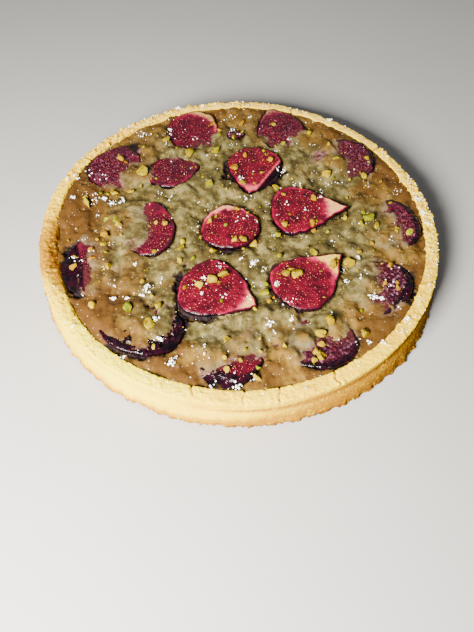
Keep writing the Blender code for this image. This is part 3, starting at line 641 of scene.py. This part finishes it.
def make_crust(material):
    angles = np.arange(CASE_SEGMENTS) * 2 * math.pi / CASE_SEGMENTS
    rings = spline_rings(inner_wall(angles) + outer_wall(angles), CASE_STEPS)
    radius, z = rings[:, 0], rings[:, 1]
    count = len(rings)
    turn = np.tile(angles, (count, 1))
    points = ring_points(radius, turn, z)

    def crumb(size, octaves, shift=0):
        return grain(points.reshape(-1, 3), size, octaves, shift).reshape(count, -1)

    # Relief in millimetres: strong on the rim and the foot, soft on the wall that touched the tin
    along_r, along_z = np.gradient(radius, axis=0), np.gradient(z, axis=0)
    length = np.hypot(along_r, along_z) + 1e-9
    on_rim = ramp(0.8, 0.97, z / CASE_HEIGHT) * ramp(0.104, 0.11, radius)
    on_foot = ramp(0.004, 0.001, z) * ramp(0.115, 0.119, radius)
    on_wall = (1 - on_rim) * ramp(0.112, 0.116, radius)
    rough = crumbliness(angles)[None]
    coarse = crumb(3.2, 4)
    fine = crumb(1.3, 2, 5)
    lumps = np.maximum(0, crumb(2.3, 3, 9))
    broken = ramp(-0.25, 0.45, crumb(7, 2, 3))
    relief = on_rim * rough * (0.5 * coarse + 0.35 * fine + 1.6 * lumps * broken)
    relief += on_wall * (0.12 * coarse + 0.08 * fine)
    relief += on_foot * (0.7 * coarse + 0.6 * fine + 0.8 * lumps)
    cracks = np.zeros_like(relief)
    for middle in RIM_CRACKS:
        wander = 0.012 * ring_noise(radius[:, 0] * 300, 1, middle)[:, None]
        crack = on_rim * hill(turn_from(middle, turn + wander) * CASE_RADIUS, RIM_CRACK_WIDTH)
        relief -= RIM_CRACK_DEPTH * crack
        cracks = np.maximum(cracks, crack)
    for *middle, _ in metres(RIM_LUMPS, 2):
        relief += RIM_LUMP_HEIGHT * on_rim * spot(points[..., 0], points[..., 1], *middle, RIM_LUMP_WIDTH)
    relief *= MM * (z > 0.05 * MM)
    radius = radius - relief * along_z / length * (radius > 0.09)
    z = np.maximum(0, z + relief * along_r / length)

    # How toasted the pastry is, with painted shade and painted light laid into the same value, and where the
    # sides in shade take their own buff colour
    inside = ramp(0.115, 0.1125, radius)
    # A band of painted shade under the ridge of the outer wall, added to the toast
    shade = ramp(0.0165, 0.015, z) * ramp(0.0125, 0.0145, z) * on_wall
    toast_and_shading = bell(turn, 193, 13) * (0.75 + 0.6 * inside) + 0.45 * on_foot * (1 + coarse) + 0.35 * shade
    toast_and_shading += 0.3 * ramp(0.0125, 0.004, z) + 0.55 * inside * ramp(0.0215, 0.019, z)
    # More toast and painted shade on the front-right wall, which faces away from the lamp, and painted shade
    # at the back, where less light falls
    toast_and_shading += bell(turn, -25, 58) * ramp(0.021, 0.016, z) + 0.16 * bell(turn, 80, 60)
    # Painted light: the front-left wall, which faces the lamp, is made paler
    toast_and_shading -= 0.6 * bell(turn, 237, 27) * ramp(0.004, 0.01, z)
    # Darker low spots on the crumbly rim, and painted shade in the rim's cracks
    toast_and_shading += 0.3 * on_rim * (rough - PLAIN_RIM) * np.maximum(0, 0.4 - fine) + 0.6 * cracks
    # The back wall and the underside, which lie in shade, take a buff pastry colour of their own: a shaded
    # copy of the colour
    shaded_side_buff = bell(turn, 85, 75) * (1 - 0.7 * on_rim) * (1 - 0.7 * inside)
    shaded_side_buff = np.maximum(shaded_side_buff, ramp(1.5 * MM, 0, z) * ramp(0.119, 0.115, radius))
    vertices = np.vstack([ring_points(radius, turn, z).reshape(-1, 3), [(0, 0, FLOOR_THICKNESS), (0, 0, 0)]])
    attributes = {"toast_and_shading": np.append(toast_and_shading, (0.3, 0.5)), "shaded_side_buff": np.append(shaded_side_buff, (1, 1))}
    faces = ring_faces(count, CASE_SEGMENTS)
    add_piece("pastry_case", vertices, faces, attributes, material, "crust", "crust")


# Fig outlines

def widest_turn(fig):
    return math.acos(-fig.taper / (fig.taper + 2))


def half_width(fig, turns):
    widest = widest_turn(fig)
    drop = np.sin(turns) * np.abs(np.sin(turns / 2)) ** fig.taper
    return 0.5 * fig.width * drop / (math.sin(widest) * math.sin(widest / 2) ** fig.taper)


def body_centre(fig):
    """The middle of the widest place, in the fig's own frame."""
    return np.array([0.5 * fig.length * math.cos(widest_turn(fig)), 0])


def fig_outline(fig, count):
    """The outline in the fig's own frame, evenly spaced and a little uneven, as real figs are."""
    turns = 2 * math.pi * (np.arange(720) + 0.5) / 720
    points = np.stack([0.5 * fig.length * np.cos(turns), half_width(fig, turns)], axis=1)
    steps = np.linalg.norm(np.roll(points, -1, axis=0) - points, axis=1)
    along = np.concatenate([[0], np.cumsum(steps)])
    closed = np.vstack([points, points[:1]])
    wanted = np.arange(count) * along[-1] / count
    outline = np.stack([np.interp(wanted, along, values) for values in closed.T], axis=1)
    wobble = plan_grain(outline[:, 0] + fig.x, outline[:, 1] + fig.y, 8, 3)
    centre = body_centre(fig)
    return centre + (outline - centre) * (1 + 0.045 * wobble)[:, None]


def turn_plan(fig, points):
    """From the fig's own frame to the tart's, in plan."""
    heading = math.radians(fig.heading)
    across, along = math.sin(heading), math.cos(heading)
    return points @ np.array([[along, across], [-across, along]]) + (fig.x, fig.y)


def plan_outline(fig):
    return turn_plan(fig, fig_outline(fig, OUTLINE_POINTS))


def face_height(fig, x, y):
    outward = Vector((fig.x, fig.y)).normalized()
    slope = math.tan(math.radians(fig.lean))
    return fig.face_z + slope * (outward.x * (x - fig.x) + outward.y * (y - fig.y))


def cover_depth(fig, x, y):
    """Millimetres from each place to the uneven edge of the cream that has run over the fig, inwards."""
    depth = np.full_like(x, -50)
    if fig.covers:
        uneven = 1.3 * plan_grain(x, y, 7, 3, 3) + 0.7 * plan_grain(x, y, 2.5, 2, 6)
        for cover_x, cover_y, radius in fig.covers:
            inwards = radius - np.hypot(x / MM - cover_x, y / MM - cover_y)
            depth = np.maximum(depth, inwards + fig.baking.creamed + uneven)
    return depth


# Cream

def open_cream_height(x, y):
    radius = np.hypot(x, y)
    angle = np.arctan2(y, x)
    rise = ramp(CREAM_RISE_START, CREAM_RISE_END, radius)
    z = CREAM_MIDDLE_Z + (CREAM_EDGE_Z - CREAM_MIDDLE_Z) * rise
    z -= LOW_CREAM_DROP * bell(angle, LOW_CREAM_ANGLE, LOW_CREAM_SPREAD) * rise
    slump = bell(angle, SLUMP_ANGLE, SLUMP_SPREAD) * ramp(CREAM_SLUMP_START, CREAM_RISE_END, radius)
    z -= CREAM_SLUMP_SHARE * SLUMP_DROP * slump
    return z + PUFF_HEIGHT * plan_grain(x, y, PUFF_WIDTH)


def cream_top(x, y):
    """Height, puff, stain and painted shade, veil and bleed of the cream at each place in plan."""
    z = open_cream_height(x, y)
    puff = z - CREAM_MIDDLE_Z
    stain_and_shade, veil, bleed, gap = (np.zeros_like(x) for _ in range(4))
    points = np.stack([x, y], axis=1)
    ragged = plan_grain(x, y, 4, 3, 2)
    patchy = plan_grain(x, y, 9, 2, 7)
    for *middle, strength in metres(DARK_GAPS, 2):
        gap = np.maximum(gap, strength * spot(x, y, *middle, GAP_SPREAD))
    distances = []
    for fig in FIGS:
        near = np.hypot(x - fig.x, y - fig.y) < 0.55 * max(fig.length, fig.width) + 3 * MOAT_WIDTH
        distance = np.ones_like(x)
        distance[near] = polygon_distance(points[near], plan_outline(fig))
        distances.append(distance)
        outside = np.maximum(0, distance)
        edge = fig.baking.gap
        slit = np.maximum(0.4, (0.3 + 0.4 * edge + 2.3 * gap) * (1 + 1.1 * ragged)) * MM
        moat = MOAT_DEPTH * hill(distance, MOAT_WIDTH) * (0.2 + 0.6 * patchy)
        moat += (0.9 * edge + 1.7 * gap) * MM * hill(outside, slit)
        z = np.where(distance > 0, z - moat, face_height(fig, x, y) - COVER_SINK)
        # The burnt edge along each fig, with painted shade in the gap beside it
        burnt = (0.9 * edge + 0.7 * gap) * hill(outside, 1.35 * slit + 0.3 * MM)
        # Painted shade: a soft darkening of the cream round each fig
        fig_shade = (0.34 + 0.38 * edge) * np.exp(-outside / FIG_SHADE_REACH) * (0.9 + 0.8 * ragged)
        stain_and_shade = np.maximum(stain_and_shade, np.maximum(burnt, fig_shade))
    for fig, distance in zip(FIGS, distances):
        depth = cover_depth(fig, x, y)
        share = np.where(distance < 0, ramp(-2, 0.6, depth), ramp(-4, 3, depth))
        top = face_height(fig, x, y) + COVER_RISE * ramp(-0.5, 11, depth)
        z += share * np.maximum(0, top - z)
        stain_and_shade *= 1 - ramp(-1, 2.5, depth)
        over = ramp(1.5 * MM, -0.5 * MM, distance) * (depth > -3)
        haze = fig.baking.haze * ramp(10, 0, depth) * (0.8 + 0.4 * ragged)
        veil = np.maximum(veil * (1 - ramp(0, 3, depth)), over * haze)
        bleed = np.maximum(bleed, over * ramp(5, -0.5, depth + 1.2 * ragged))
    for patch_x, patch_y, width, strength in metres(JUICE_PATCHES, 3):
        off = np.hypot(x - patch_x, y - patch_y) + 1.5 * MM * ragged
        bleed = np.maximum(bleed, strength * ramp(1.3 * width, 0.5 * width, off))
    return z, puff, stain_and_shade, np.clip(veil, 0, 0.9), bleed


def disc_grid(cells):
    """A square grid laid on a disc, as radius share and angle, with nearly equal cells."""
    side = np.linspace(-1, 1, cells + 1)
    a, b = np.meshgrid(side, side)
    wide = np.abs(a) > np.abs(b)
    share = np.where(wide, a, b)
    safe = np.where(share == 0, 1, share)
    angle = np.where(wide, math.pi / 4 * b / safe, math.pi / 2 - math.pi / 4 * a / safe)
    angle = angle + np.where(share < 0, math.pi, 0)
    return np.abs(share).ravel(), angle.ravel()


def wall_radius(angles, z):
    """Radius of the case's inner wall at one height for each angle."""
    wall = inner_wall(angles)
    radius = wall[-1][0].copy()
    for (low_r, low_z), (high_r, high_z) in reversed(list(zip(wall, wall[1:]))):
        on_stretch = z <= high_z
        radius = np.where(on_stretch, low_r + (high_r - low_r) * (z - low_z) / (high_z - low_z), radius)
    return radius


def cream_pits(chance):
    """Places, widths and depths of the dents and bubbles in the baked surface."""
    pits = metres(DENTS, 4)
    for _ in range(BUBBLES):
        place = random_place(chance, 0.109)
        width = (0.6 + chance.random() ** 2) * MM
        pits.append((*place, width, width * chance.uniform(0.5, 1)))
    return pits


def coloured_sides(sides, angle, share, wander):
    """How strongly some sides of the cream are coloured, from a share of the radius outwards."""
    return sum(
        strength * bell(angle, middle, spread) * ramp(start, full, share + uneven * wander)
        for middle, spread, strength, start, full, uneven in sides
    )


def make_cream(material):
    share, angle = disc_grid(CREAM_CELLS)
    ring = np.linspace(-math.pi, math.pi, 1441)
    edge = np.interp(angle, ring, wall_radius(ring, CREAM_EDGE_AT), period=2 * math.pi)
    radius = share * (edge + 0.1 * MM)
    x, y = radius * np.cos(angle), radius * np.sin(angle)
    height, puff, stain_and_shade, veil, bleed = cream_top(x, y)

    # Puffs, wrinkles and bubbles of the baked surface
    calm = (1 - 0.5 * np.maximum(veil, bleed)) * MM
    swell = plan_grain(x, 0.75 * y, 14, 2, 5)
    wrinkles = 0.95 * plan_grain(x, 0.6 * y, 6, 2) + 0.1 * plan_grain(x, 0.6 * y, 1.6, 2, 4)
    height += calm * (2.6 * swell + wrinkles) + 1.1 * MM * stain_and_shade * plan_grain(x, y, 2, 3, 8)
    pit_shade = np.zeros_like(x)
    for pit_x, pit_y, width, depth in cream_pits(random.Random(SEED)):
        near = np.flatnonzero((np.abs(x - pit_x) < 3 * width) & (np.abs(y - pit_y) < 3 * width))
        hollow = spot(x[near], y[near], pit_x, pit_y, width)
        height[near] -= depth * hollow
        pit_shade[near] = np.maximum(pit_shade[near], hollow * min(1, depth / (1.1 * MM)))
    rim_top = np.interp(angle, ring, case_height(ring) - 0.9 * MM, period=2 * math.pi)
    rim_top -= 0.4 * SLUMP_DROP * bell(angle, SLUMP_ANGLE, SLUMP_SPREAD)
    height += ramp(0.93, 1, share) * np.minimum(0, rim_top - height)

    # How browned the cream is: the outer ring, raised puffs and the edge along the case, with painted shade
    # in the dents
    wander = plan_grain(x, y, 26, 2, 1)
    brown = 0.72 * ramp(0.66, 0.96, share + 0.12 * wander) + coloured_sides(BROWN_SIDES, angle, share, wander)
    # pit_shade lays painted shade into each dent and bubble
    brown += 0.15 * puff / MM + 0.25 * swell + 0.4 * pit_shade + 0.1 * ramp(0.97, 1, share) - 0.5 * veil
    for *patch, strength in metres(BROWN_PATCHES, 3):
        brown += strength * spot(x, y, *patch)
    tan = coloured_sides(TAN_SIDES, angle, share, wander)

    # The side follows the wall down a little and closes below
    cells = CREAM_CELLS + 1
    grid = np.arange(cells * cells).reshape(cells, cells)
    loop = np.concatenate([grid[0, :-1], grid[:-1, -1], grid[-1, :0:-1], grid[:0:-1, 0]])
    side_z = height[loop] - SKIRT_DEPTH
    side_r = np.minimum(wall_radius(angle[loop], side_z) - 0.4 * MM, radius[loop])
    side = ring_points(side_r, angle[loop], side_z)
    vertices = np.vstack([np.stack([x, y, height], axis=1), side, [(0, 0, side_z.mean())]])
    corners = np.stack([grid[:-1, :-1], grid[:-1, 1:], grid[1:, 1:], grid[1:, :-1]], axis=2).reshape(-1, 4)
    faces = corners.tolist()
    below = cells * cells
    count = len(loop)
    for i, (start, end) in enumerate(zip(loop.tolist(), np.roll(loop, -1).tolist())):
        j = (i + 1) % count
        faces += [(start, below + i, below + j, end), (below + count, below + j, below + i)]
    colours = {"brown": brown, "tan": np.clip(tan, 0, 0.9), "stain_and_shade": stain_and_shade, "veil": veil, "bleed": bleed}
    attributes = {title: np.append(values, np.zeros(count + 1)) for title, values in colours.items()}
    attributes["brown"][below:] = 1
    add_piece("baked_cream", vertices, faces, attributes, material, "cream", "cream")


# Fig halves

def fig_placement(fig):
    around = Vector((-fig.y, fig.x, 0))
    lean = Matrix.Rotation(-math.radians(fig.lean), 4, around)
    turn = Matrix.Rotation(math.radians(fig.heading), 4, "Z")
    return np.array(Matrix.Translation((fig.x, fig.y, fig.face_z)) @ lean @ turn)


def place_points(placement, points):
    return points @ placement[:3, :3].T + placement[:3, 3]


def pulp_reach(fig, local):
    """How far each point is from the middle of the pulp: 1 at the pulp's edge, more in the flesh."""
    half = 0.5 * fig.width
    centre = body_centre(fig)[0]
    thick = math.radians(fig.baking.thick_side - fig.heading)
    u = local[:, 0] - centre + fig.baking.thick_by * MM * math.cos(thick)
    v = local[:, 1] + fig.baking.thick_by * MM * math.sin(thick)
    behind = 0.5 * fig.length + centre - 1.1 * MM
    ahead = 0.9 * min(half * 1.12, 0.5 * fig.length - centre - 2 * MM)
    return np.hypot(np.where(u > 0, u / ahead, u / behind), v / (half - 1.2 * MM))


def fold_side(fig, plan):
    """Millimetres from the line where the skin has folded over the face to each place on its bare side."""
    if not fig.baking.fold:
        return np.full(len(plan), 1000)
    start, end = np.array(fig.baking.fold).reshape(2, 2)
    along = end - start
    off = plan / MM - start
    return (along[0] * off[:, 1] - along[1] * off[:, 0]) / math.hypot(*along)


def make_fig(fig, material):
    """One half: a cut face with seedy pulp inside a band of flesh, and a wrinkled skin below."""
    baking = fig.baking
    outline = fig_outline(fig, FIG_SEGMENTS)
    centre = body_centre(fig)
    shares = 1 - np.linspace(0.98, 0, FIG_FACE_RINGS) ** 1.15
    face = np.vstack([centre + share * (outline - centre) for share in shares])
    plan = turn_plan(fig, face)
    x, y = plan.T
    lumps = plan_grain(x, y, 1.9, 3)
    reach = pulp_reach(fig, face) + 0.06 * plan_grain(x, y, 4, 2)

    # From here to the relief, lengths are in millimetres
    distance = np.maximum(0, -polygon_distance(face, outline) / MM)
    beyond = (1 - 1 / np.maximum(reach, 1)) * np.hypot(face[:, 0] - centre[0], face[:, 1]) / MM
    pale = np.minimum(1, baking.stem * ramp(0.4, 5.5, beyond + 0.8 * lumps)) * ramp(0.5, 1.6, distance)
    smear = ramp(-2, 0.5, cover_depth(fig, x, y))
    side = fold_side(fig, plan) + 0.4 * lumps
    distance = np.minimum(distance, np.maximum(0, side))
    flesh = np.maximum(ramp(0.92, 1.06, reach), (baking.stem > 0) * ramp(2.6, 1.6, side))
    pale = np.maximum(pale, 0.55 * baking.stem * ramp(2.4, 1.2, side))

    # Skin at the edge, and more of it where the half has turned up against the case
    turn = np.arctan2(y - fig.y, x - fig.x)
    rind = baking.rind * bell(turn, math.degrees(math.atan2(fig.y, fig.x)), baking.rind_reach)
    edge_skin = rind + 0.45 + 0.25 * lumps
    skin = ramp(edge_skin + 0.3, edge_skin - 0.3, distance)
    relief = (1 - flesh) * ((0.34 + 0.7 * baking.purple**2) * lumps - 0.2) + 0.1 * flesh * lumps
    relief += 0.25 * skin * ramp(0.5, 2, rind) * (1 + lumps)
    relief -= 0.7 * ramp(1, 0, distance) + 1.6 * ramp(0.4, -3.5, side)
    height = FACE_DOME * (1 - np.minimum(reach, 1) ** 2) + relief * MM
    face_points = np.column_stack([face, height])

    # The bowl of the half below, wrinkled like baked skin
    depth = FIG_DEPTH_SHARE * fig.width
    bowl = []
    for q in 0.5 * math.pi * np.arange(1, FIG_SKIN_RINGS + 1) / (FIG_SKIN_RINGS + 1):
        ring = centre + math.cos(q) * (outline - centre)
        level = -EDGE_DROP - (depth - EDGE_DROP) * math.sin(q)
        bowl.append(np.column_stack([ring, np.full(FIG_SEGMENTS, level)]))
    bowl = np.vstack(bowl)
    wrinkles = grain(bowl + (fig.x, fig.y, 0), 2.6, 3)
    bowl[:, :2] += (bowl[:, :2] - centre) * (0.02 * wrinkles)[:, None]

    local = np.vstack([face_points, bowl, [(*centre, FACE_DOME), (*centre, -depth)]])

    def all_over(on_face, at_top, below):
        return np.concatenate([on_face, np.full(len(bowl), below), [at_top, below]])

    attributes = {
        "flesh": all_over(flesh, 0, 1),
        "pale": all_over(pale, 0, 0),
        "smear": all_over(smear, smear[0], 0),
        "skin": all_over(skin, 0, 1),
        "yellow": np.full(len(local), baking.yellow),
        "purple": np.full(len(local), baking.purple),
    }
    faces = ring_faces(FIG_FACE_RINGS + FIG_SKIN_RINGS, FIG_SEGMENTS)
    vertices = place_points(fig_placement(fig), local)
    add_piece(fig.name + "_fruit", vertices, faces, attributes, material, "fig", fig.name)


# Small things

def ball(subdivisions):
    """Vertices and faces of a unit ball of triangles."""
    mesh = bmesh.new()
    bmesh.ops.create_icosphere(mesh, subdivisions=subdivisions, radius=1)
    vertices = np.array([tuple(vertex.co) for vertex in mesh.verts])
    faces = [tuple(vertex.index for vertex in face.verts) for face in mesh.faces]
    mesh.free()
    return vertices, faces


def lump(chance, vertices, half_sizes, uneven, tilt, cuts=0):
    """A ball's vertices made uneven, cut flat on some sides, brought to size and turned."""
    points = vertices * np.array([[1 + chance.uniform(-uneven, uneven)] for _ in vertices])
    for _ in range(cuts):
        normal = np.array([chance.gauss(0, 1) for _ in range(3)])
        normal /= np.linalg.norm(normal)
        over = points @ normal - chance.uniform(0.38, 0.72)
        points = points - np.maximum(over, 0)[:, None] * normal
    turn = Matrix.Rotation(chance.uniform(0, 2 * math.pi), 3, "Z")
    tips = [Matrix.Rotation(chance.uniform(-tilt, tilt), 3, axis) for axis in "XY"]
    return points * half_sizes @ np.array(turn @ tips[0] @ tips[1]).T


class Heap:
    """Many small bodies gathered in one mesh, each with a tone."""

    def __init__(self):
        self.vertices = []
        self.faces = []
        self.tones = []
        self.count = 0

    def add(self, points, faces, tone=0):
        self.vertices.append(points)
        self.faces += [tuple(i + self.count for i in face) for face in faces]
        self.tones.append(np.full(len(points), tone))
        self.count += len(points)

    def strew(self, chance, spots, flatness, rise):
        """Add fine grains at spots, each given as x, y, lift, half size and tone."""
        vertices, faces = ball(1)
        heights = top_heights(np.array([spot[:2] for spot in spots]))
        for (x, y, lift, size, tone), z in zip(spots, heights):
            points = lump(chance, vertices, np.array([1, flatness, 0.7]) * size, 0.2, 1.5)
            self.add(points + (x, y, z + lift + rise * size), faces, tone)

    def finish(self, name, material, slot, **settings):
        attributes = {"tone": np.concatenate(self.tones)}
        add_piece(name, np.vstack(self.vertices), self.faces, attributes, material, slot, **settings)


def top_heights(places):
    """Height of whatever shows from above at each place: the rim, the cream or the face of a fig."""
    x, y = places[:, 0], places[:, 1]
    height = cream_top(x, y)[0]
    for fig in FIGS:
        inside = polygon_distance(places, plan_outline(fig)) < -0.5 * MM
        height = np.where(inside, np.maximum(height, face_height(fig, x, y)), height)
    angle = np.arctan2(y, x)
    on_rim = np.hypot(x, y) > case_outer_radius(angle) - rim_width(angle)
    return np.where(on_rim, case_height(angle), height)


def random_place(chance, reach):
    radius = reach * math.sqrt(chance.random())
    angle = chance.uniform(0, 2 * math.pi)
    return radius * math.cos(angle), radius * math.sin(angle)


def strewn(chance, x, y, spread):
    """A place near another, about as far off as spread."""
    return x + chance.gauss(0, spread), y + chance.gauss(0, spread)


def make_seeds(material):
    """The seeds that show in the pulp of each fig."""
    chance = random.Random(SEED + 1)
    heap = Heap()
    vertices, faces = ball(2)
    for fig in FIGS:
        if fig.baking.purple >= SEEDS_HIDDEN_FROM:
            continue
        steps = np.arange(-0.5 * fig.length, 0.5 * fig.length, SEED_SPACING)
        u, v = (values.ravel() for values in np.meshgrid(steps, steps))
        jitter = np.array([[chance.uniform(-0.5, 0.5), chance.uniform(-0.5, 0.5)] for _ in u])
        local = np.stack([u, v], axis=1) + jitter * SEED_SPACING
        reach = pulp_reach(fig, local)
        plan = turn_plan(fig, local)
        shown = (reach < 0.97) & (polygon_distance(local, fig_outline(fig, OUTLINE_POINTS)) < -1.6 * MM)
        shown &= (cover_depth(fig, *plan.T) < 0.5) & (fold_side(fig, plan) > 1)
        placement = fig_placement(fig)
        pale = 0.8 * (1 - 0.7 * fig.baking.purple)
        for (along, across), how_far in zip(local[shown], reach[shown]):
            if chance.random() < 0.25:
                continue
            size = chance.uniform(0.22, 0.36) * MM
            points = lump(chance, vertices, np.array([1.2, 0.9, 0.7]) * size, 0.06, 0.5)
            lift = FACE_DOME * (1 - how_far**2) + chance.uniform(-0.18, 0.06) * MM
            tone = pale * chance.random() ** 3
            heap.add(place_points(placement, points + (along, across, lift)), faces, tone)
    heap.finish("fig_seeds", material, "fig")


def make_pistachio(material):
    chance = random.Random(SEED + 2)
    heap = Heap()
    vertices, faces = ball(3)
    chips = metres(PISTACHIO, 3)
    for _ in range(PISTACHIO_CRUMBS):
        chips.append((*random_place(chance, 0.105), chance.uniform(1, 2.6) * MM, chance.random() ** 1.3))
    places = np.array([chip[:2] for chip in chips])
    for (x, y, size, tone), z in zip(chips, top_heights(places)):
        half = 0.72 * size * np.array([1, chance.uniform(0.65, 0.9), chance.uniform(0.5, 0.7)])
        points = lump(chance, vertices, half, 0.04, 0.6, cuts=8)
        heap.add(points + (x, y, z + 0.5 * half[2]), faces, tone)
    powder = []
    for _ in range(PISTACHIO_POWDER):
        x, y = random_place(chance, 0.085)
        if chance.random() < 0.6:
            near_x, near_y = chance.choice(PISTACHIO)[:2]
            x, y = strewn(chance, near_x * MM, near_y * MM, 5 * MM)
        powder.append((x, y, 0, chance.uniform(0.25, 0.6) * MM, 0.7 * chance.random()))
    powder = [spot for spot in powder if math.hypot(*spot[:2]) < 0.11 * chance.random() ** 0.3]
    heap.strew(chance, powder, 0.8, 0.3)
    heap.finish("pistachio_pieces", material, "cream", sharp_angle=math.radians(30))


def make_sugar(material):
    chance = random.Random(SEED + 3)
    heap = Heap()
    grains = []

    def add(place, size, lift=0):
        grains.append((*place, lift, size * MM, 0))

    for x, y, size in SUGAR:
        for _ in range(round(4.5 * size)):
            off = strewn(chance, 0, 0, 0.26 * size * MM)
            lift = chance.random() * max(0, 0.25 * size * MM - 0.6 * math.hypot(*off))
            add((x * MM + off[0], y * MM + off[1]), 0.25 + 0.65 * chance.random() ** 1.5, lift)
    for _ in range(SPECKS):
        add(random_place(chance, 0.117), 0.18 + 0.4 * chance.random() ** 3)
    for _ in range(SPECK_CLUSTERS):
        place = random_place(chance, 0.11)
        for _ in range(chance.randint(2, 7)):
            add(strewn(chance, *place, 1.5 * MM), 0.25 + 0.5 * chance.random() ** 2)
    for degrees, spread, count in SUGARED_RIM:
        for _ in range(count):
            radius, angle = chance.uniform(0.113, 0.1195), math.radians(chance.gauss(degrees, spread))
            add((radius * math.cos(angle), radius * math.sin(angle)), chance.uniform(0.2, 0.6))
    heap.strew(chance, grains, 0.85, 0.45)
    heap.finish("sugar_grains", material, "cream")


# Studio

def make_camera():
    camera = bpy.data.cameras.new("camera")
    camera.sensor_width = SENSOR_WIDTH
    camera.lens = FOCAL_LENGTH
    holder = add_object("camera", camera)
    holder.location = CAMERA_PLACE
    holder.rotation_euler = [math.radians(angle) for angle in CAMERA_ANGLES]
    bpy.context.scene.camera = holder


def make_light(name, place, size, power, colour):
    """A square soft light that faces the tart."""
    lamp = bpy.data.lights.new(name, "AREA")
    lamp.size = size
    lamp.energy = power
    lamp.color = colour
    holder = add_object(name, lamp)
    holder.location = place
    holder.rotation_euler = Vector(place).to_track_quat("Z", "Y").to_euler()


def make_studio():
    world = bpy.data.worlds.new("studio")
    world.use_nodes = True
    sky = world.node_tree.nodes["Background"].inputs
    sky["Color"].default_value = (1, 0.99, 0.97, 1)
    sky["Strength"].default_value = 0.13
    bpy.context.scene.world = world
    make_light("window", (-0.2, -0.38, 0.29), 0.17, 21, (1, 0.94, 0.84))
    make_light("fill", (0.15, 0.9, 0.8), 1, 2.5, (0.95, 0.97, 1))
    surface = Surface("pale_floor", 0.8, 0.2)
    grey = surface.mix(surface.noise(60, 4), (0.34, 0.34, 0.34), (0.37, 0.37, 0.37))
    surface.set_shader({"Base Color": grey})
    mesh = bpy.data.meshes.new("floor")
    reach, drop = 4, -0.2 * MM
    corners = [(side * reach, front * reach, drop) for side, front in ((-1, -1), (1, -1), (1, 1), (-1, 1))]
    mesh.from_pydata(corners, [], [(0, 1, 2, 3)])
    mesh.materials.append(surface.material)
    floor = add_object("floor", mesh)


def main():
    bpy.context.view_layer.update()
    make_camera()
    make_studio()
    make_crust(pastry_material())
    make_cream(cream_material())
    flesh = fig_material()
    for fig in FIGS:
        make_fig(fig, flesh)
    make_seeds(seed_material())
    make_pistachio(pistachio_material())
    make_sugar(sugar_material())


main()
